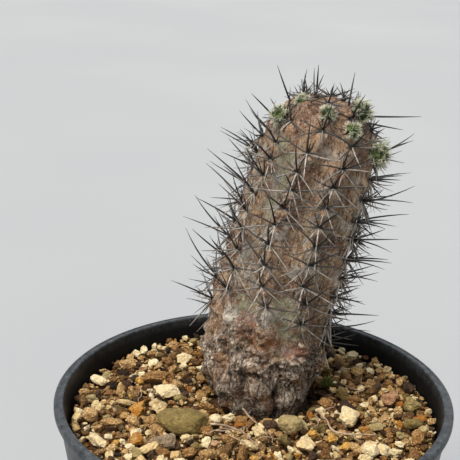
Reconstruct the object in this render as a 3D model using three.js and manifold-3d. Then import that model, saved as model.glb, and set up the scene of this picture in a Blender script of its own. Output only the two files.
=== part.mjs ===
// A short columnar cactus that leans in a round nursery pot, its soil topped with mixed gravel.
// Millimetres, +Z up. The origin is the centre of the foot ring that the pot stands on.
// Bearings are degrees about +Z: 0 looks along -Y (the front) and 90 looks along +X.

import * as THREE from 'three';
import { ConvexGeometry } from 'three/addons/geometries/ConvexGeometry.js';
import { mergeVertices } from 'three/addons/utils/BufferGeometryUtils.js';
import Module from 'manifold-3d';

// Driving dimensions

const GAP = 0.3; // left between neighbours that touch

const POT_HEIGHT = 90;
const RIM_RADIUS = 52.5; // the widest line of the lip
const LIP_RADIUS = 1.3; // the lip is a round bead
const LIP_OVERHANG = 0.9; // how far the bead stands out from the wall
const LIP_ARC_START = -60; // degrees, on the bead's outer lower side
const LIP_ARC = 240; // degrees of the bead that show
const LIP_STEPS = 8;
const WALL = 1.7;
const FOOT_RADIUS = 39;
const FOOT_WIDTH = 3;
const FOOT_HEIGHT = 3;
const FOOT_TAPER = 0.4; // the foot ring is this much narrower inside at its lower edge
const FLOOR = 1.8;
const FLOOR_CORNER = 2; // bevel between the floor and the wall
const CENTRE_DRAIN_RADIUS = 6;
const DRAIN_RADIUS = 4;
const DRAIN_COUNT = 4;
const DRAIN_RING_RADIUS = 22;
const DRAIN_SIDES = 20;
const POT_SIDES = 56;

const SOIL_DEPTH_BELOW_RIM = 6.4; // at the wall
const SOIL_CROWN = 0.6; // the middle stands this much above the soil's edge
const SOIL_SIDES = 48;

const RIB_BEARINGS = [-78, -38, 0, 38, 82, 122, 161, 201, 241]; // round the middle of the stem
const RIB_DEPTH = 1.5;
const TWIST_START = -24; // bearing of the third rib where the ribs stand straight
const TWIST_HEIGHT = 48; // mm up the stem where that is
const TWIST_RATE = 0.026; // degrees per square millimetre away from there
const TWIST_LOWEST = 20; // below this the ribs run straight down
const STEM_BURIED = 8;
const STEM_LENGTH = 81;
const STEM_FOOT_RADIUS = 14.6;
const STEM_SWELL = 1.6; // how much wider the middle is
const CROWN_DOME = 16; // length of the domed end
const FOOT_DOME = 16; // length over which the buried end rounds off
const DOME_POWER = 2.3; // 2 is an ellipse, more is blunter
const CROWN_RIB_FADE = 14; // the ribs sink into the crown over this length
const CROWN_PEAK = 1.9; // how much the crown's tip stands above a plain dome
const CROWN_PEAK_LENGTH = 10; // it rises over this length
const FOOT_RIB_SHARE = 0.45; // of their depth is left below FOOT_RIB_START
const FOOT_RIB_START = 8;
const FOOT_RIB_END = 30; // above this the ribs have their full depth
const STEM_ROWS = 24;
const ROW_CROWDING = 0.4; // 0 spaces the rows evenly and 1 crowds them into the rounded ends
const POLE_ROOM = 0.5; // between an end of the stem and its first row
const STEM_SIDES = 54;

const SPINE_THICKNESS = 0.5;
const PAD_RADIUS = 1.1;
const PAD_HEIGHT = 0.9;
const PAD_SIDES = 8;
const PAD_SHOULDER = [0.8, 0.6]; // share of the pad's radius and of its height
const SPINE_SIDES = 4;
const SPINE_ROOT = 0.36; // height of the spines' roots above the pad's foot
const RADIAL_COUNT = 7;
const RADIAL_LENGTH = 3.9; // of the ones that point up the rib
const RADIAL_SHORTENING = 0.15; // share by which the level ones are shorter
const RADIAL_LIFT = 24; // degrees off the skin
const CENTRAL_LIFT = 78;
const CENTRAL_LENGTH = 9.5;
const TOP_SPINE_LENGTH = 10.2;
const CROWN_CLUSTER_BEARING = 200; // just behind the crown's highest point
const CROWN_CLUSTER_DROP = 1.5; // below the tip of the stem
const CLUSTER_HEIGHTS = { low: 34, middle: 49.6, upper: 65.2 }; // mm up the stem
const CLUSTER_UNDER_BUD = 'spines_rib_5_upper'; // a bud grows in its place

const STALK_RADIUS = 0.35;
const STALK_LIFT = 0.9; // centre line above the middle of the soil
const STALK_SIDES = 6;
const STALK_STEPS = 8;

const STONE_CORNERS = 18;
const STONE_ROUGHNESS = 0.28;
const STONE_LIFT = 0.12; // share of a stone's height by which its middle stands above the soil
const BUD_CORNERS = 24;
const BUD_ROUGHNESS = 0.14;
const BUD_SEAT = 0.2; // a bud is cut flat at this share of its half height below the middle

const GOLDEN_ANGLE = Math.PI * (3 - Math.sqrt(5));

// The stem's centre line, from its buried foot to its crown. It leans right and a little back.
const stemAxis = new THREE.CatmullRomCurve3([
  new THREE.Vector3(2.5, 12.6, POT_HEIGHT - 13.8),
  new THREE.Vector3(2.4, 13.8, POT_HEIGHT - 5.8),
  new THREE.Vector3(2.3, 14.9, POT_HEIGHT + 5),
  new THREE.Vector3(4.4, 16.2, POT_HEIGHT + 18),
  new THREE.Vector3(8.5, 17.8, POT_HEIGHT + 33.6),
  new THREE.Vector3(11.6, 19.1, POT_HEIGHT + 45),
  new THREE.Vector3(14.3, 20.3, POT_HEIGHT + 56),
  new THREE.Vector3(16.0, 21.4, POT_HEIGHT + 66.4),
  new THREE.Vector3(16.8, 22.1, POT_HEIGHT + 73.6),
]);

// Buds round the crown: bearing, distance up the stem, width and height.
const BUDS = [
  { name: 'bud_upper_left', bearing: -62, up: 75.5, width: 4.6, height: 3.8 },
  { name: 'bud_top_left', bearing: -45, up: 79.0, width: 2.6, height: 2.2 },
  { name: 'bud_top_middle', bearing: 0, up: 77.4, width: 3.2, height: 2.8 },
  { name: 'bud_top_right', bearing: 54, up: 78.0, width: 5.4, height: 4.4 },
  { name: 'bud_small_right', bearing: 31, up: 75.0, width: 3.4, height: 2.8 },
  { name: 'bud_side_right', bearing: 68, up: 70.4, width: 6.6, height: 5.2 },
];

// Stones that rest in the top of the mix: place, size along and across, height and heading.
const STONES = [
  { name: 'stone_olive_pebble', x: -18.2, y: -9.4, size: [11.8, 8.4, 5.0], heading: -6, color: 0x8c7a52 },
  { name: 'stone_cream_shard', x: -23.8, y: 7.4, size: [8.3, 5.6, 3.6], heading: 10, color: 0xd9c9a0 },
  { name: 'stone_olive_at_foot', x: 9.9, y: -8.0, size: [5.4, 5.6, 3.8], heading: 40, color: 0xb5a878 },
  { name: 'stone_cream_chip', x: 25.3, y: -3.8, size: [7.4, 6.4, 4.2], heading: -50, color: 0xe0cd9c },
  { name: 'stone_grey_flat', x: -22.0, y: -18.8, size: [7.0, 4.6, 2.8], heading: 8, color: 0x8a7a68 },
  { name: 'stone_orange', x: -28.8, y: -18.4, size: [4.5, 4.0, 3.0], heading: 20, color: 0xc47a35 },
  { name: 'stone_cream_front', x: 13.4, y: -17.8, size: [5.0, 4.4, 3.0], heading: 15, color: 0xd8c497 },
  { name: 'stone_cream_long', x: -38.2, y: -20.2, size: [7.4, 3.8, 2.8], heading: -54, color: 0xe2cf98 },
  { name: 'stone_tan_round', x: -42.4, y: -7.6, size: [3.8, 3.6, 3.2], heading: 0, color: 0xd0ae76 },
  { name: 'stone_tan_flat', x: -36.6, y: -10.8, size: [6.2, 3.6, 2.4], heading: -4, color: 0xb58c60 },
  { name: 'stone_white_round', x: -9.6, y: -6.8, size: [3.0, 2.8, 2.2], heading: 0, color: 0xcfc6b4 },
  { name: 'stone_cream_seed', x: -43.4, y: 11.8, size: [5.0, 2.4, 2.4], heading: -38, color: 0xe0d3a0 },
  { name: 'stone_cream_back', x: -20.7, y: 28.2, size: [5.2, 3.8, 3.0], heading: 12, color: 0xd8c9a4 },
  { name: 'stone_two_tone', x: -36.6, y: 22.2, size: [5.0, 4.6, 3.4], heading: 30, color: 0xcfa878 },
  { name: 'stone_brown_long', x: -28.2, y: 15.8, size: [7.8, 4.6, 3.4], heading: 14, color: 0xa5805a },
  { name: 'stone_pink', x: 37.2, y: 6.6, size: [5.2, 4.6, 3.4], heading: -15, color: 0xb98a78 },
  { name: 'stone_olive_grey', x: 43.2, y: 3.8, size: [5.6, 4.6, 3.4], heading: -30, color: 0x9c8860 },
  { name: 'stone_olive_sliver', x: 42.2, y: -6.3, size: [5.0, 2.6, 2.0], heading: 4, color: 0x8f7d3c },
  { name: 'stone_cream_small', x: 29.5, y: -19.6, size: [4.4, 3.6, 2.6], heading: -35, color: 0xe4d2a0 },
  { name: 'stone_dark_grey', x: 4.6, y: -8.8, size: [3.4, 2.6, 2.2], heading: 10, color: 0x4d4a46 },
];

// Dry stalks on the gravel, each from its first point to its last.
const STALKS = [
  { name: 'stalk_long', points: [[17.4, -3.4], [19.4, -8.6], [20.7, -13.1], [24.2, -14.8], [31.3, -14.4]] },
  { name: 'stalk_front', points: [[-2.5, -3.8], [-0.6, -7.8], [1.4, -11.2]] },
  { name: 'stalk_left', points: [[-10.8, -11.9], [-6.4, -12.8], [-2.6, -15.4], [0.9, -20.6]] },
];

const MOSS = { name: 'moss_tuft', x: 20.9, y: 16.4, size: [3.6, 5.2, 4.6], heading: 0, color: 0x4a5a26 };

// Worked out from them

const WALL_TOP_RADIUS = RIM_RADIUS - LIP_OVERHANG;
const WALL_SLOPE = (WALL_TOP_RADIUS - FOOT_RADIUS) / POT_HEIGHT;
const FLOOR_TOP = FOOT_HEIGHT + FLOOR;
const SOIL_EDGE = POT_HEIGHT - SOIL_DEPTH_BELOW_RIM;
const SOIL_TOP = SOIL_EDGE + SOIL_CROWN;

const manifoldLibrary = await Module();
manifoldLibrary.setup();

// Solids

function toSolid(geometry) {
  const bare = geometry.clone();
  bare.deleteAttribute('normal');
  bare.deleteAttribute('uv');
  const merged = mergeVertices(bare, 1e-4);
  const corners = merged.index.array;
  const triangles = [];
  for (let i = 0; i < corners.length; i += 3) {
    const [a, b, c] = corners.slice(i, i + 3);
    if (a !== b && b !== c && c !== a) {
      triangles.push(a, b, c);
    }
  }
  return new manifoldLibrary.Manifold(
    new manifoldLibrary.Mesh({
      numProp: 3,
      vertProperties: new Float32Array(merged.attributes.position.array),
      triVerts: new Uint32Array(triangles),
    }),
  );
}

function toGeometry(solid) {
  const mesh = solid.getMesh();
  const geometry = new THREE.BufferGeometry();
  geometry.setAttribute('position', new THREE.BufferAttribute(mesh.vertProperties, 3));
  geometry.setIndex(new THREE.BufferAttribute(mesh.triVerts, 1));
  geometry.computeVertexNormals();
  return geometry;
}

function turnedUpright(profile, sides) {
  const points = profile.map(([radius, height]) => new THREE.Vector2(radius, height));
  return new THREE.LatheGeometry(points, sides).rotateX(Math.PI / 2);
}

const group = new THREE.Group();

function addPart(name, geometry, color, roughness) {
  const material = new THREE.MeshStandardMaterial({ color, roughness, metalness: 0 });
  const mesh = new THREE.Mesh(geometry, material);
  mesh.name = name;
  group.add(mesh);
  return mesh;
}

// Pot

function outerRadius(height) {
  return FOOT_RADIUS + WALL_SLOPE * height;
}

function innerRadius(height) {
  return outerRadius(height) - WALL;
}

function lipProfile() {
  const centreRadius = RIM_RADIUS - LIP_RADIUS;
  const centreHeight = POT_HEIGHT - LIP_RADIUS;
  const profile = [];
  for (let i = 0; i <= LIP_STEPS; i += 1) {
    const turn = THREE.MathUtils.degToRad(LIP_ARC_START + (LIP_ARC * i) / LIP_STEPS);
    profile.push([
      centreRadius + LIP_RADIUS * Math.cos(turn),
      centreHeight + LIP_RADIUS * Math.sin(turn),
    ]);
  }
  return profile;
}

function buildPot() {
  const crease = POT_HEIGHT - 2 * LIP_RADIUS;
  const shell = turnedUpright(
    [
      [0, FOOT_HEIGHT],
      [FOOT_RADIUS - FOOT_WIDTH - FOOT_TAPER, FOOT_HEIGHT],
      [FOOT_RADIUS - FOOT_WIDTH, 0],
      [FOOT_RADIUS, 0],
      [outerRadius(crease), crease],
      ...lipProfile(),
      [innerRadius(crease), crease],
      [innerRadius(FLOOR_TOP + FLOOR_CORNER), FLOOR_TOP + FLOOR_CORNER],
      [innerRadius(FLOOR_TOP) - FLOOR_CORNER, FLOOR_TOP],
      [0, FLOOR_TOP],
    ],
    POT_SIDES,
  );
  let solid = toSolid(shell);
  const drill = (radius, x, y) => {
    const hole = new THREE.CylinderGeometry(radius, radius, 4 * FLOOR, DRAIN_SIDES);
    hole.rotateX(Math.PI / 2).translate(x, y, FOOT_HEIGHT + FLOOR / 2);
    solid = solid.subtract(toSolid(hole));
  };
  drill(CENTRE_DRAIN_RADIUS, 0, 0);
  for (let i = 0; i < DRAIN_COUNT; i += 1) {
    const turn = ((i + 0.5) * 2 * Math.PI) / DRAIN_COUNT;
    drill(DRAIN_RADIUS, DRAIN_RING_RADIUS * Math.cos(turn), DRAIN_RING_RADIUS * Math.sin(turn));
  }
  addPart('pot', toGeometry(solid), 0x35383b, 0.55);
}

// Stem

function stemRadius(up) {
  const swell = Math.sin((Math.PI * THREE.MathUtils.clamp(up, 0, 60)) / 70);
  const bodyRadius = STEM_FOOT_RADIUS + STEM_SWELL * swell;
  const intoCrown = (up - STEM_LENGTH + CROWN_DOME) / CROWN_DOME;
  const intoFoot = (FOOT_DOME - STEM_BURIED - up) / FOOT_DOME;
  const past = THREE.MathUtils.clamp(Math.max(intoCrown, intoFoot), 0, 1);
  return bodyRadius * (1 - past ** DOME_POWER) ** (1 / DOME_POWER);
}

function ribTwist(up) {
  const away = Math.max(up, TWIST_LOWEST) - TWIST_HEIGHT;
  return TWIST_START + TWIST_RATE * away * away;
}

// 0 on a rib's crest and 1 in the valley between two ribs
function valley(bearing) {
  const first = RIB_BEARINGS[0];
  const crests = [...RIB_BEARINGS, first + 360];
  const turned = THREE.MathUtils.euclideanModulo(bearing - first, 360) + first;
  const next = crests.findIndex((crest) => crest > turned);
  const along = (turned - crests[next - 1]) / (crests[next] - crests[next - 1]);
  return 0.5 - 0.5 * Math.cos(2 * Math.PI * along);
}

function ribDepth(up) {
  const crownFade = THREE.MathUtils.smoothstep(STEM_LENGTH - up, 0, CROWN_RIB_FADE);
  const aboveFoot = THREE.MathUtils.smoothstep(up, FOOT_RIB_START, FOOT_RIB_END);
  return RIB_DEPTH * crownFade * THREE.MathUtils.lerp(FOOT_RIB_SHARE, 1, aboveFoot);
}

function stemFrame(up) {
  const share = (up + STEM_BURIED) / (STEM_LENGTH + STEM_BURIED);
  const along = THREE.MathUtils.clamp(share, 0, 1);
  const tangent = stemAxis.getTangentAt(along);
  const forward = new THREE.Vector3(0, -1, 0);
  forward.addScaledVector(tangent, -forward.dot(tangent)).normalize();
  const right = new THREE.Vector3().crossVectors(tangent, forward);
  const peak = CROWN_PEAK * THREE.MathUtils.smoothstep(up, STEM_LENGTH - CROWN_PEAK_LENGTH, STEM_LENGTH);
  const centre = stemAxis.getPointAt(along).addScaledVector(tangent, peak);
  return { centre, tangent, forward, right };
}

// A point at a bearing counted from the third rib, this far up, with room to spare outside it
function stemPoint(ribBearing, up, room) {
  const { centre, forward, right } = stemFrame(up);
  const turn = THREE.MathUtils.degToRad(ribBearing + ribTwist(up));
  const radius = Math.max(stemRadius(up) - ribDepth(up) * valley(ribBearing), 0);
  const reach = radius === 0 ? 0 : radius + room;
  return centre
    .addScaledVector(right, reach * Math.sin(turn))
    .addScaledVector(forward, reach * Math.cos(turn));
}

// A point on the stem's centre line, which runs straight on past its ends
function axisPoint(up) {
  const within = THREE.MathUtils.clamp(up, -STEM_BURIED, STEM_LENGTH);
  const { centre, tangent } = stemFrame(within);
  return centre.addScaledVector(tangent, up - within);
}

function stemGeometry(room) {
  const profile = [new THREE.Vector2(0, -STEM_BURIED - room)];
  for (let row = 0; row <= STEM_ROWS; row += 1) {
    const share = row / STEM_ROWS;
    const eased = THREE.MathUtils.lerp(share, 0.5 - 0.5 * Math.cos(Math.PI * share), ROW_CROWDING);
    const up = THREE.MathUtils.lerp(POLE_ROOM - STEM_BURIED, STEM_LENGTH - POLE_ROOM, eased);
    profile.push(new THREE.Vector2(1, up));
  }
  profile.push(new THREE.Vector2(0, STEM_LENGTH + room));
  const geometry = new THREE.LatheGeometry(profile, STEM_SIDES);
  const places = geometry.attributes.position;
  for (let i = 0; i < places.count; i += 1) {
    const up = places.getY(i);
    const onAxis = Math.hypot(places.getX(i), places.getZ(i)) < 0.5;
    const bearing = THREE.MathUtils.radToDeg(Math.atan2(places.getX(i), places.getZ(i)));
    const point = onAxis ? axisPoint(up) : stemPoint(bearing, up, room);
    places.setXYZ(i, point.x, point.y, point.z);
  }
  return geometry;
}

// Axes on the stem's skin: out of it, up along the rib, and across
function skinFrame(ribBearing, up) {
  const step = 0.5;
  const here = stemPoint(ribBearing, up, 0);
  const along = stemPoint(ribBearing, up + step, 0).sub(stemPoint(ribBearing, up - step, 0)).normalize();
  const across = stemPoint(ribBearing + 2, up, 0).sub(stemPoint(ribBearing - 2, up, 0)).normalize();
  const out = new THREE.Vector3().crossVectors(across, along).normalize();
  along.crossVectors(out, across);
  return { here, turn: new THREE.Matrix4().makeBasis(across, along, out) };
}

function placeOnSkin(mesh, { here, turn }, lift) {
  mesh.quaternion.setFromRotationMatrix(turn);
  mesh.position.copy(here).addScaledVector(new THREE.Vector3().setFromMatrixColumn(turn, 2), lift);
}

// Spine clusters: a felt pad that carries a star of radial spines and a central one

function spine(length, turn, lift) {
  const half = SPINE_THICKNESS / 2;
  const cone = new THREE.ConeGeometry(half, length, SPINE_SIDES).translate(0, length / 2, 0);
  const direction = new THREE.Vector3(
    Math.cos(lift) * Math.sin(turn),
    Math.cos(lift) * Math.cos(turn),
    Math.sin(lift),
  );
  cone.applyQuaternion(new THREE.Quaternion().setFromUnitVectors(new THREE.Vector3(0, 1, 0), direction));
  return toSolid(cone.translate(0, 0, SPINE_ROOT));
}

function spineCluster(centralLength) {
  const pad = turnedUpright(
    [
      [0, 0],
      [PAD_RADIUS, 0],
      [PAD_RADIUS * PAD_SHOULDER[0], PAD_HEIGHT * PAD_SHOULDER[1]],
      [0, PAD_HEIGHT],
    ],
    PAD_SIDES,
  );
  let solid = toSolid(pad);
  for (let i = 0; i < RADIAL_COUNT; i += 1) {
    const turn = ((i + 0.3) * 2 * Math.PI) / RADIAL_COUNT;
    const length = RADIAL_LENGTH * (1 - RADIAL_SHORTENING * (1 - Math.cos(turn)));
    solid = solid.add(spine(length, turn, THREE.MathUtils.degToRad(RADIAL_LIFT)));
  }
  solid = solid.add(spine(centralLength, 0, THREE.MathUtils.degToRad(CENTRAL_LIFT)));
  return toGeometry(solid);
}

function addSpineCluster(name, ribBearing, up, centralLength) {
  const mesh = addPart(name, spineCluster(centralLength), 0x2c2826, 0.5);
  placeOnSkin(mesh, skinFrame(ribBearing, up), GAP);
}

// Buds, stones and moss are lumps with a few flat faces. A bud has a flat seat.

function lump([length, width, height], seed, corners, roughness, seat = 1) {
  THREE.MathUtils.seededRandom(seed);
  const points = [];
  for (let i = 0; i < corners; i += 1) {
    const rise = 1 - (2 * (i + 0.5)) / corners;
    const ring = Math.sqrt(1 - rise * rise);
    const reach = 0.5 * (1 + roughness * (0.4 - THREE.MathUtils.seededRandom()));
    points.push(
      new THREE.Vector3(
        reach * length * ring * Math.cos(i * GOLDEN_ANGLE),
        reach * width * ring * Math.sin(i * GOLDEN_ANGLE),
        Math.max(reach * height * rise, -0.5 * height * seat),
      ),
    );
  }
  return new ConvexGeometry(points);
}

function addBud({ name, bearing, up, width, height }, seed) {
  const halfHeight = height / (1 + BUD_SEAT);
  const geometry = lump([width, width, 2 * halfHeight], seed, BUD_CORNERS, BUD_ROUGHNESS, BUD_SEAT);
  const mesh = addPart(name, geometry, 0x5d6b45, 0.95);
  placeOnSkin(mesh, skinFrame(bearing - ribTwist(up), up), halfHeight * BUD_SEAT + GAP);
}

function bedded({ x, y, size, heading }, seed, room) {
  const grown = size.map((side) => side + 2 * room);
  const geometry = lump(grown, seed, STONE_CORNERS, STONE_ROUGHNESS);
  geometry.rotateZ(THREE.MathUtils.degToRad(heading));
  return geometry.translate(x, y, SOIL_TOP + STONE_LIFT * size[2]);
}

// Soil, hollowed for the stem's foot and for each stone

function buildSoil(beddedPieces) {
  const block = turnedUpright(
    [
      [0, FLOOR_TOP + GAP],
      [innerRadius(FLOOR_TOP) - FLOOR_CORNER - GAP, FLOOR_TOP + GAP],
      [innerRadius(FLOOR_TOP + FLOOR_CORNER) - GAP, FLOOR_TOP + FLOOR_CORNER],
      [innerRadius(SOIL_EDGE) - GAP, SOIL_EDGE],
      [RIM_RADIUS / 2, SOIL_TOP - SOIL_CROWN / 4],
      [0, SOIL_TOP],
    ],
    SOIL_SIDES,
  );
  let solid = toSolid(block).subtract(toSolid(stemGeometry(GAP)));
  beddedPieces.forEach((piece, i) => {
    solid = solid.subtract(toSolid(bedded(piece, i + 1, GAP)));
  });
  addPart('soil_mix', toGeometry(solid), 0x6b4e35, 0.95);
}

function addStalk({ name, points }) {
  const height = SOIL_TOP + STALK_LIFT;
  const path = new THREE.CatmullRomCurve3(points.map(([x, y]) => new THREE.Vector3(x, y, height)));
  const section = new THREE.Shape();
  for (let i = 0; i < STALK_SIDES; i += 1) {
    const turn = (2 * Math.PI * i) / STALK_SIDES;
    section.lineTo(STALK_RADIUS * Math.cos(turn), STALK_RADIUS * Math.sin(turn));
  }
  const geometry = new THREE.ExtrudeGeometry(section, { extrudePath: path, steps: STALK_STEPS });
  addPart(name, geometry, 0xb9a27c, 0.8);
}

// Assembly

buildPot();
const beddedPieces = [...STONES, MOSS];
buildSoil(beddedPieces);
beddedPieces.forEach((piece, i) => {
  addPart(piece.name, bedded(piece, i + 1, 0), piece.color, 0.85);
});
STALKS.forEach(addStalk);
addPart('stem', stemGeometry(0), 0x8a6f5a, 0.85);
BUDS.forEach((bud, i) => addBud(bud, 50 + i));

RIB_BEARINGS.forEach((bearing, rib) => {
  Object.entries(CLUSTER_HEIGHTS).forEach(([level, up]) => {
    const name = `spines_rib_${rib + 1}_${level}`;
    if (name !== CLUSTER_UNDER_BUD) {
      addSpineCluster(name, bearing, up, CENTRAL_LENGTH);
    }
  });
});
const crownClusterHeight = STEM_LENGTH - CROWN_CLUSTER_DROP;
addSpineCluster('spines_crown', CROWN_CLUSTER_BEARING, crownClusterHeight, TOP_SPINE_LENGTH);

export default group;
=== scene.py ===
# %% [markdown]
# # A leaning cactus in a nursery pot
#
# The object is a short columnar cactus about 31 mm across and 81 mm tall above its gravel. It leans
# to the right in a black plastic pot of 105 mm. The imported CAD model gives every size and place.
# This script keeps those and makes the surfaces: corky skin, horn-like spines, woolly buds, grit,
# and moulded plastic. Work is in millimetres here and turned to metres when a mesh is made.

# %% Load the frame
import math
import random

import bmesh
import bpy
import numpy as np
from mathutils import Euler, Matrix, Vector, noise


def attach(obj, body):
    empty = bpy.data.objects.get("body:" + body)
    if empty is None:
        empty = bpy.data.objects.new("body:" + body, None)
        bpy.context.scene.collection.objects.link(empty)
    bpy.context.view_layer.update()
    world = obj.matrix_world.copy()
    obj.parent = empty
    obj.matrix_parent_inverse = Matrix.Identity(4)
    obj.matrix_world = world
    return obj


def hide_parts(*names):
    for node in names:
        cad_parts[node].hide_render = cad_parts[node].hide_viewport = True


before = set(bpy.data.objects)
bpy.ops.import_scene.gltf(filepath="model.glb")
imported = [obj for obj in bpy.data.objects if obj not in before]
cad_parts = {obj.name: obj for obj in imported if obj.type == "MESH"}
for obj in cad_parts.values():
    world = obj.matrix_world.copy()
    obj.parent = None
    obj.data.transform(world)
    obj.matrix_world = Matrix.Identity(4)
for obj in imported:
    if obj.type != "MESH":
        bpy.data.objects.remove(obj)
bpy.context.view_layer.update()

MM = 0.001

# %% [markdown]
# ## Camera
#
# The viewer looks down by about 19 degrees from just above the pot, close enough that the pot's
# front runs out of the frame. A 78 mm lens on a 36 mm sensor gives that view from 0.27 m away.
# Building the turn from look-down, look-aside and roll keeps each part of it readable.

# %% Camera
LENS = 78.26
SENSOR = 36.0
CAMERA_PLACE = (0.0, -0.2381, 0.2172)
LOOK_DOWN, LOOK_ASIDE, ROLL = 19.03, 1.68, 1.12

camera_data = bpy.data.cameras.new("camera")
camera_data.lens = LENS
camera_data.sensor_width = SENSOR
camera_data.clip_start = 0.01
camera = bpy.data.objects.new("camera", camera_data)
bpy.context.collection.objects.link(camera)
aim = Euler((math.radians(90 - LOOK_DOWN), 0, math.radians(LOOK_ASIDE))).to_matrix()
aim = aim @ Matrix.Rotation(math.radians(ROLL), 3, "Z")
camera.matrix_world = Matrix.Translation(CAMERA_PLACE) @ aim.to_4x4()
bpy.context.scene.camera = camera
bpy.context.scene.view_settings.view_transform = "Standard"
print("camera:", LENS, "mm lens,", LOOK_DOWN, "degrees down")

# %% [markdown]
# ## Colours and shader nodes
#
# Colours are written as the hex values that a screen shows. Shaders work in linear light, so one
# function turns them. One more function adds any shader node, with its settings and its links, so a
# material reads as a short list of what feeds what.


# %% Helpers for materials
def linear(code):
    """The linear RGBA of an sRGB hex code such as 8a6f5a."""
    parts = [int(code[i : i + 2], 16) / 255 for i in (0, 2, 4)]
    return (*(p / 12.92 if p <= 0.04045 else ((p + 0.055) / 1.055) ** 2.4 for p in parts), 1.0)


def feed(tree, node, links):
    """Gives each named input of a node a value or another node's output."""
    for socket, source in links.items():
        if isinstance(source, bpy.types.NodeSocket):
            tree.links.new(source, node.inputs[socket])
        else:
            node.inputs[socket].default_value = source


def add(tree, kind, links=None, out=None, stops=None, **settings):
    """Adds a node and gives back its output named out, or the node itself.

    links feeds its inputs. stops are a ramp's positions and hex colours, in order.
    """
    node = tree.nodes.new("ShaderNode" + kind)
    for key, value in settings.items():
        setattr(node, key, value)
    feed(tree, node, links or {})
    if stops:
        ramp = node.color_ramp.elements
        for stop, (position, colour) in ((ramp[0], stops[0]), (ramp[1], stops[-1])):
            stop.position, stop.color = position, linear(colour)
        for position, colour in stops[1:-1]:
            ramp.new(position).color = linear(colour)
    return node if out is None else node.outputs[out]


def new_material(name):
    """An empty material, its node tree and its shader."""
    material = bpy.data.materials.new(name)
    material.use_nodes = True
    tree = material.node_tree
    tree.nodes.clear()
    shader = add(tree, "BsdfPrincipled")
    add(tree, "OutputMaterial", {"Surface": shader.outputs["BSDF"]})
    return material, tree, shader


print("sRGB 808080 in linear light:", round(linear("808080")[0], 3))

# %% [markdown]
# Two things are done to nearly every material here. A wash lays one more colour over the tone where
# a pattern says so, as glaze goes over paint. A surface feeds the shader: the pattern that colours
# a natural material also roughens it and raises its grain.


# %% Washes and surfaces
def wash(tree, tone, colour, pattern, low, high, most=1.0, only=None):
    """Lays a colour over a tone: none where the pattern is at low, most of it at high.

    The colour is a hex code or another node's output. only is a value that marks with 1 the places
    where the wash may lie.
    """
    stretch = {"Value": pattern, "From Min": low, "From Max": high, "To Max": most}
    amount = add(tree, "MapRange", stretch, "Result")
    if only is not None:
        amount = add(tree, "Math", {0: only, 1: amount}, "Value", operation="MULTIPLY")
    colour = linear(colour) if isinstance(colour, str) else colour
    return add(tree, "Mix", {0: amount, 6: tone, 7: colour}, 2, data_type="RGBA")


def surface(tree, shader, tone, pattern, rough, depth):
    """Feeds a shader its colour, and its roughness and bump from one pattern, depth in metres."""
    low, high = rough
    uneven = {"Value": pattern, "From Min": 0.3, "From Max": 0.7, "To Min": high, "To Max": low}
    relief = {"Height": pattern, "Strength": 1.0, "Distance": depth}
    links = {
        "Base Color": tone,
        "Roughness": add(tree, "MapRange", uneven, "Result"),
        "Normal": add(tree, "Bump", relief, "Normal"),
    }
    feed(tree, shader, links)


# %% [markdown]
# ## Making pieces from points and faces
#
# Every piece is a mesh made from arrays. Values that belong to the surface, such as how far up the
# stem a point lies or how old a spine is, are stored on the points. A material reads them back, so
# its pattern follows the plant's own shape and not just the room's axes.


# %% Helpers for meshes
def new_piece(name, points, faces, material, slot, smooth=True, **values):
    """A piece on the root body from points in mm. values are numbers or vectors, one per point."""
    mesh = bpy.data.meshes.new(name)
    mesh.from_pydata((np.asarray(points) * MM).tolist(), [], [tuple(face) for face in faces])
    for key, data in values.items():
        data = np.asarray(data, dtype=np.float32)
        kind, field = ("FLOAT_VECTOR", "vector") if data.ndim == 2 else ("FLOAT", "value")
        mesh.attributes.new(key, kind, "POINT").data.foreach_set(field, data.ravel())
    if smooth:
        mesh.shade_smooth()
    mesh.materials.append(material)
    piece = bpy.data.objects.new(name, mesh)
    bpy.context.collection.objects.link(piece)
    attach(piece, "root")
    return piece


def ring_faces(rows, sides):
    """Quads of a tube with this many rings of points, closed round its sides."""
    row, side = np.meshgrid(np.arange(rows - 1), np.arange(sides), indexing="ij")
    turn = (side + 1) % sides
    quads = [row * sides + side, row * sides + turn, (row + 1) * sides + turn, (row + 1) * sides + side]
    return np.stack(quads, -1).reshape(-1, 4).tolist()


def capped_tube(rings):
    """Points and faces of a closed body from rings (rows, sides, 3), with a point at each end."""
    rows, sides, _ = rings.shape
    points = np.concatenate([rings.reshape(-1, 3), rings[:1].mean(1), rings[-1:].mean(1)])
    foot, top, last = rows * sides, rows * sides + 1, (rows - 1) * sides
    faces = ring_faces(rows, sides)
    faces += [(foot, (k + 1) % sides, k) for k in range(sides)]
    faces += [(top, last + k, last + (k + 1) % sides) for k in range(sides)]
    return points, faces


# %% [markdown]
# Nature's shapes come and go softly. A smooth step fades one thing into the next, and fractal noise
# breaks it up. Hundreds of spines, hairs or grains would be slow as separate objects, so a bundle
# gathers them into one mesh.


# %% Soft steps, noise and bundles
def smoothstep(value, low, high):
    """0 below low, 1 above high, and a smooth change between them."""
    t = np.clip((np.asarray(value, float) - low) / (high - low), 0, 1)
    return t * t * (3 - 2 * t)


def unit(vectors):
    """The vectors at length one."""
    return vectors / np.maximum(np.linalg.norm(vectors, axis=-1, keepdims=True), 1e-9)


def field(points, size, octaves=4, seed=0.0):
    """Smooth noise from -1 to 1 whose largest features measure size, at each point."""
    scaled = np.asarray(points) / size + seed
    return np.array([noise.fractal(Vector(p), 1.0, 2.1, octaves) for p in scaled.tolist()])


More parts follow.
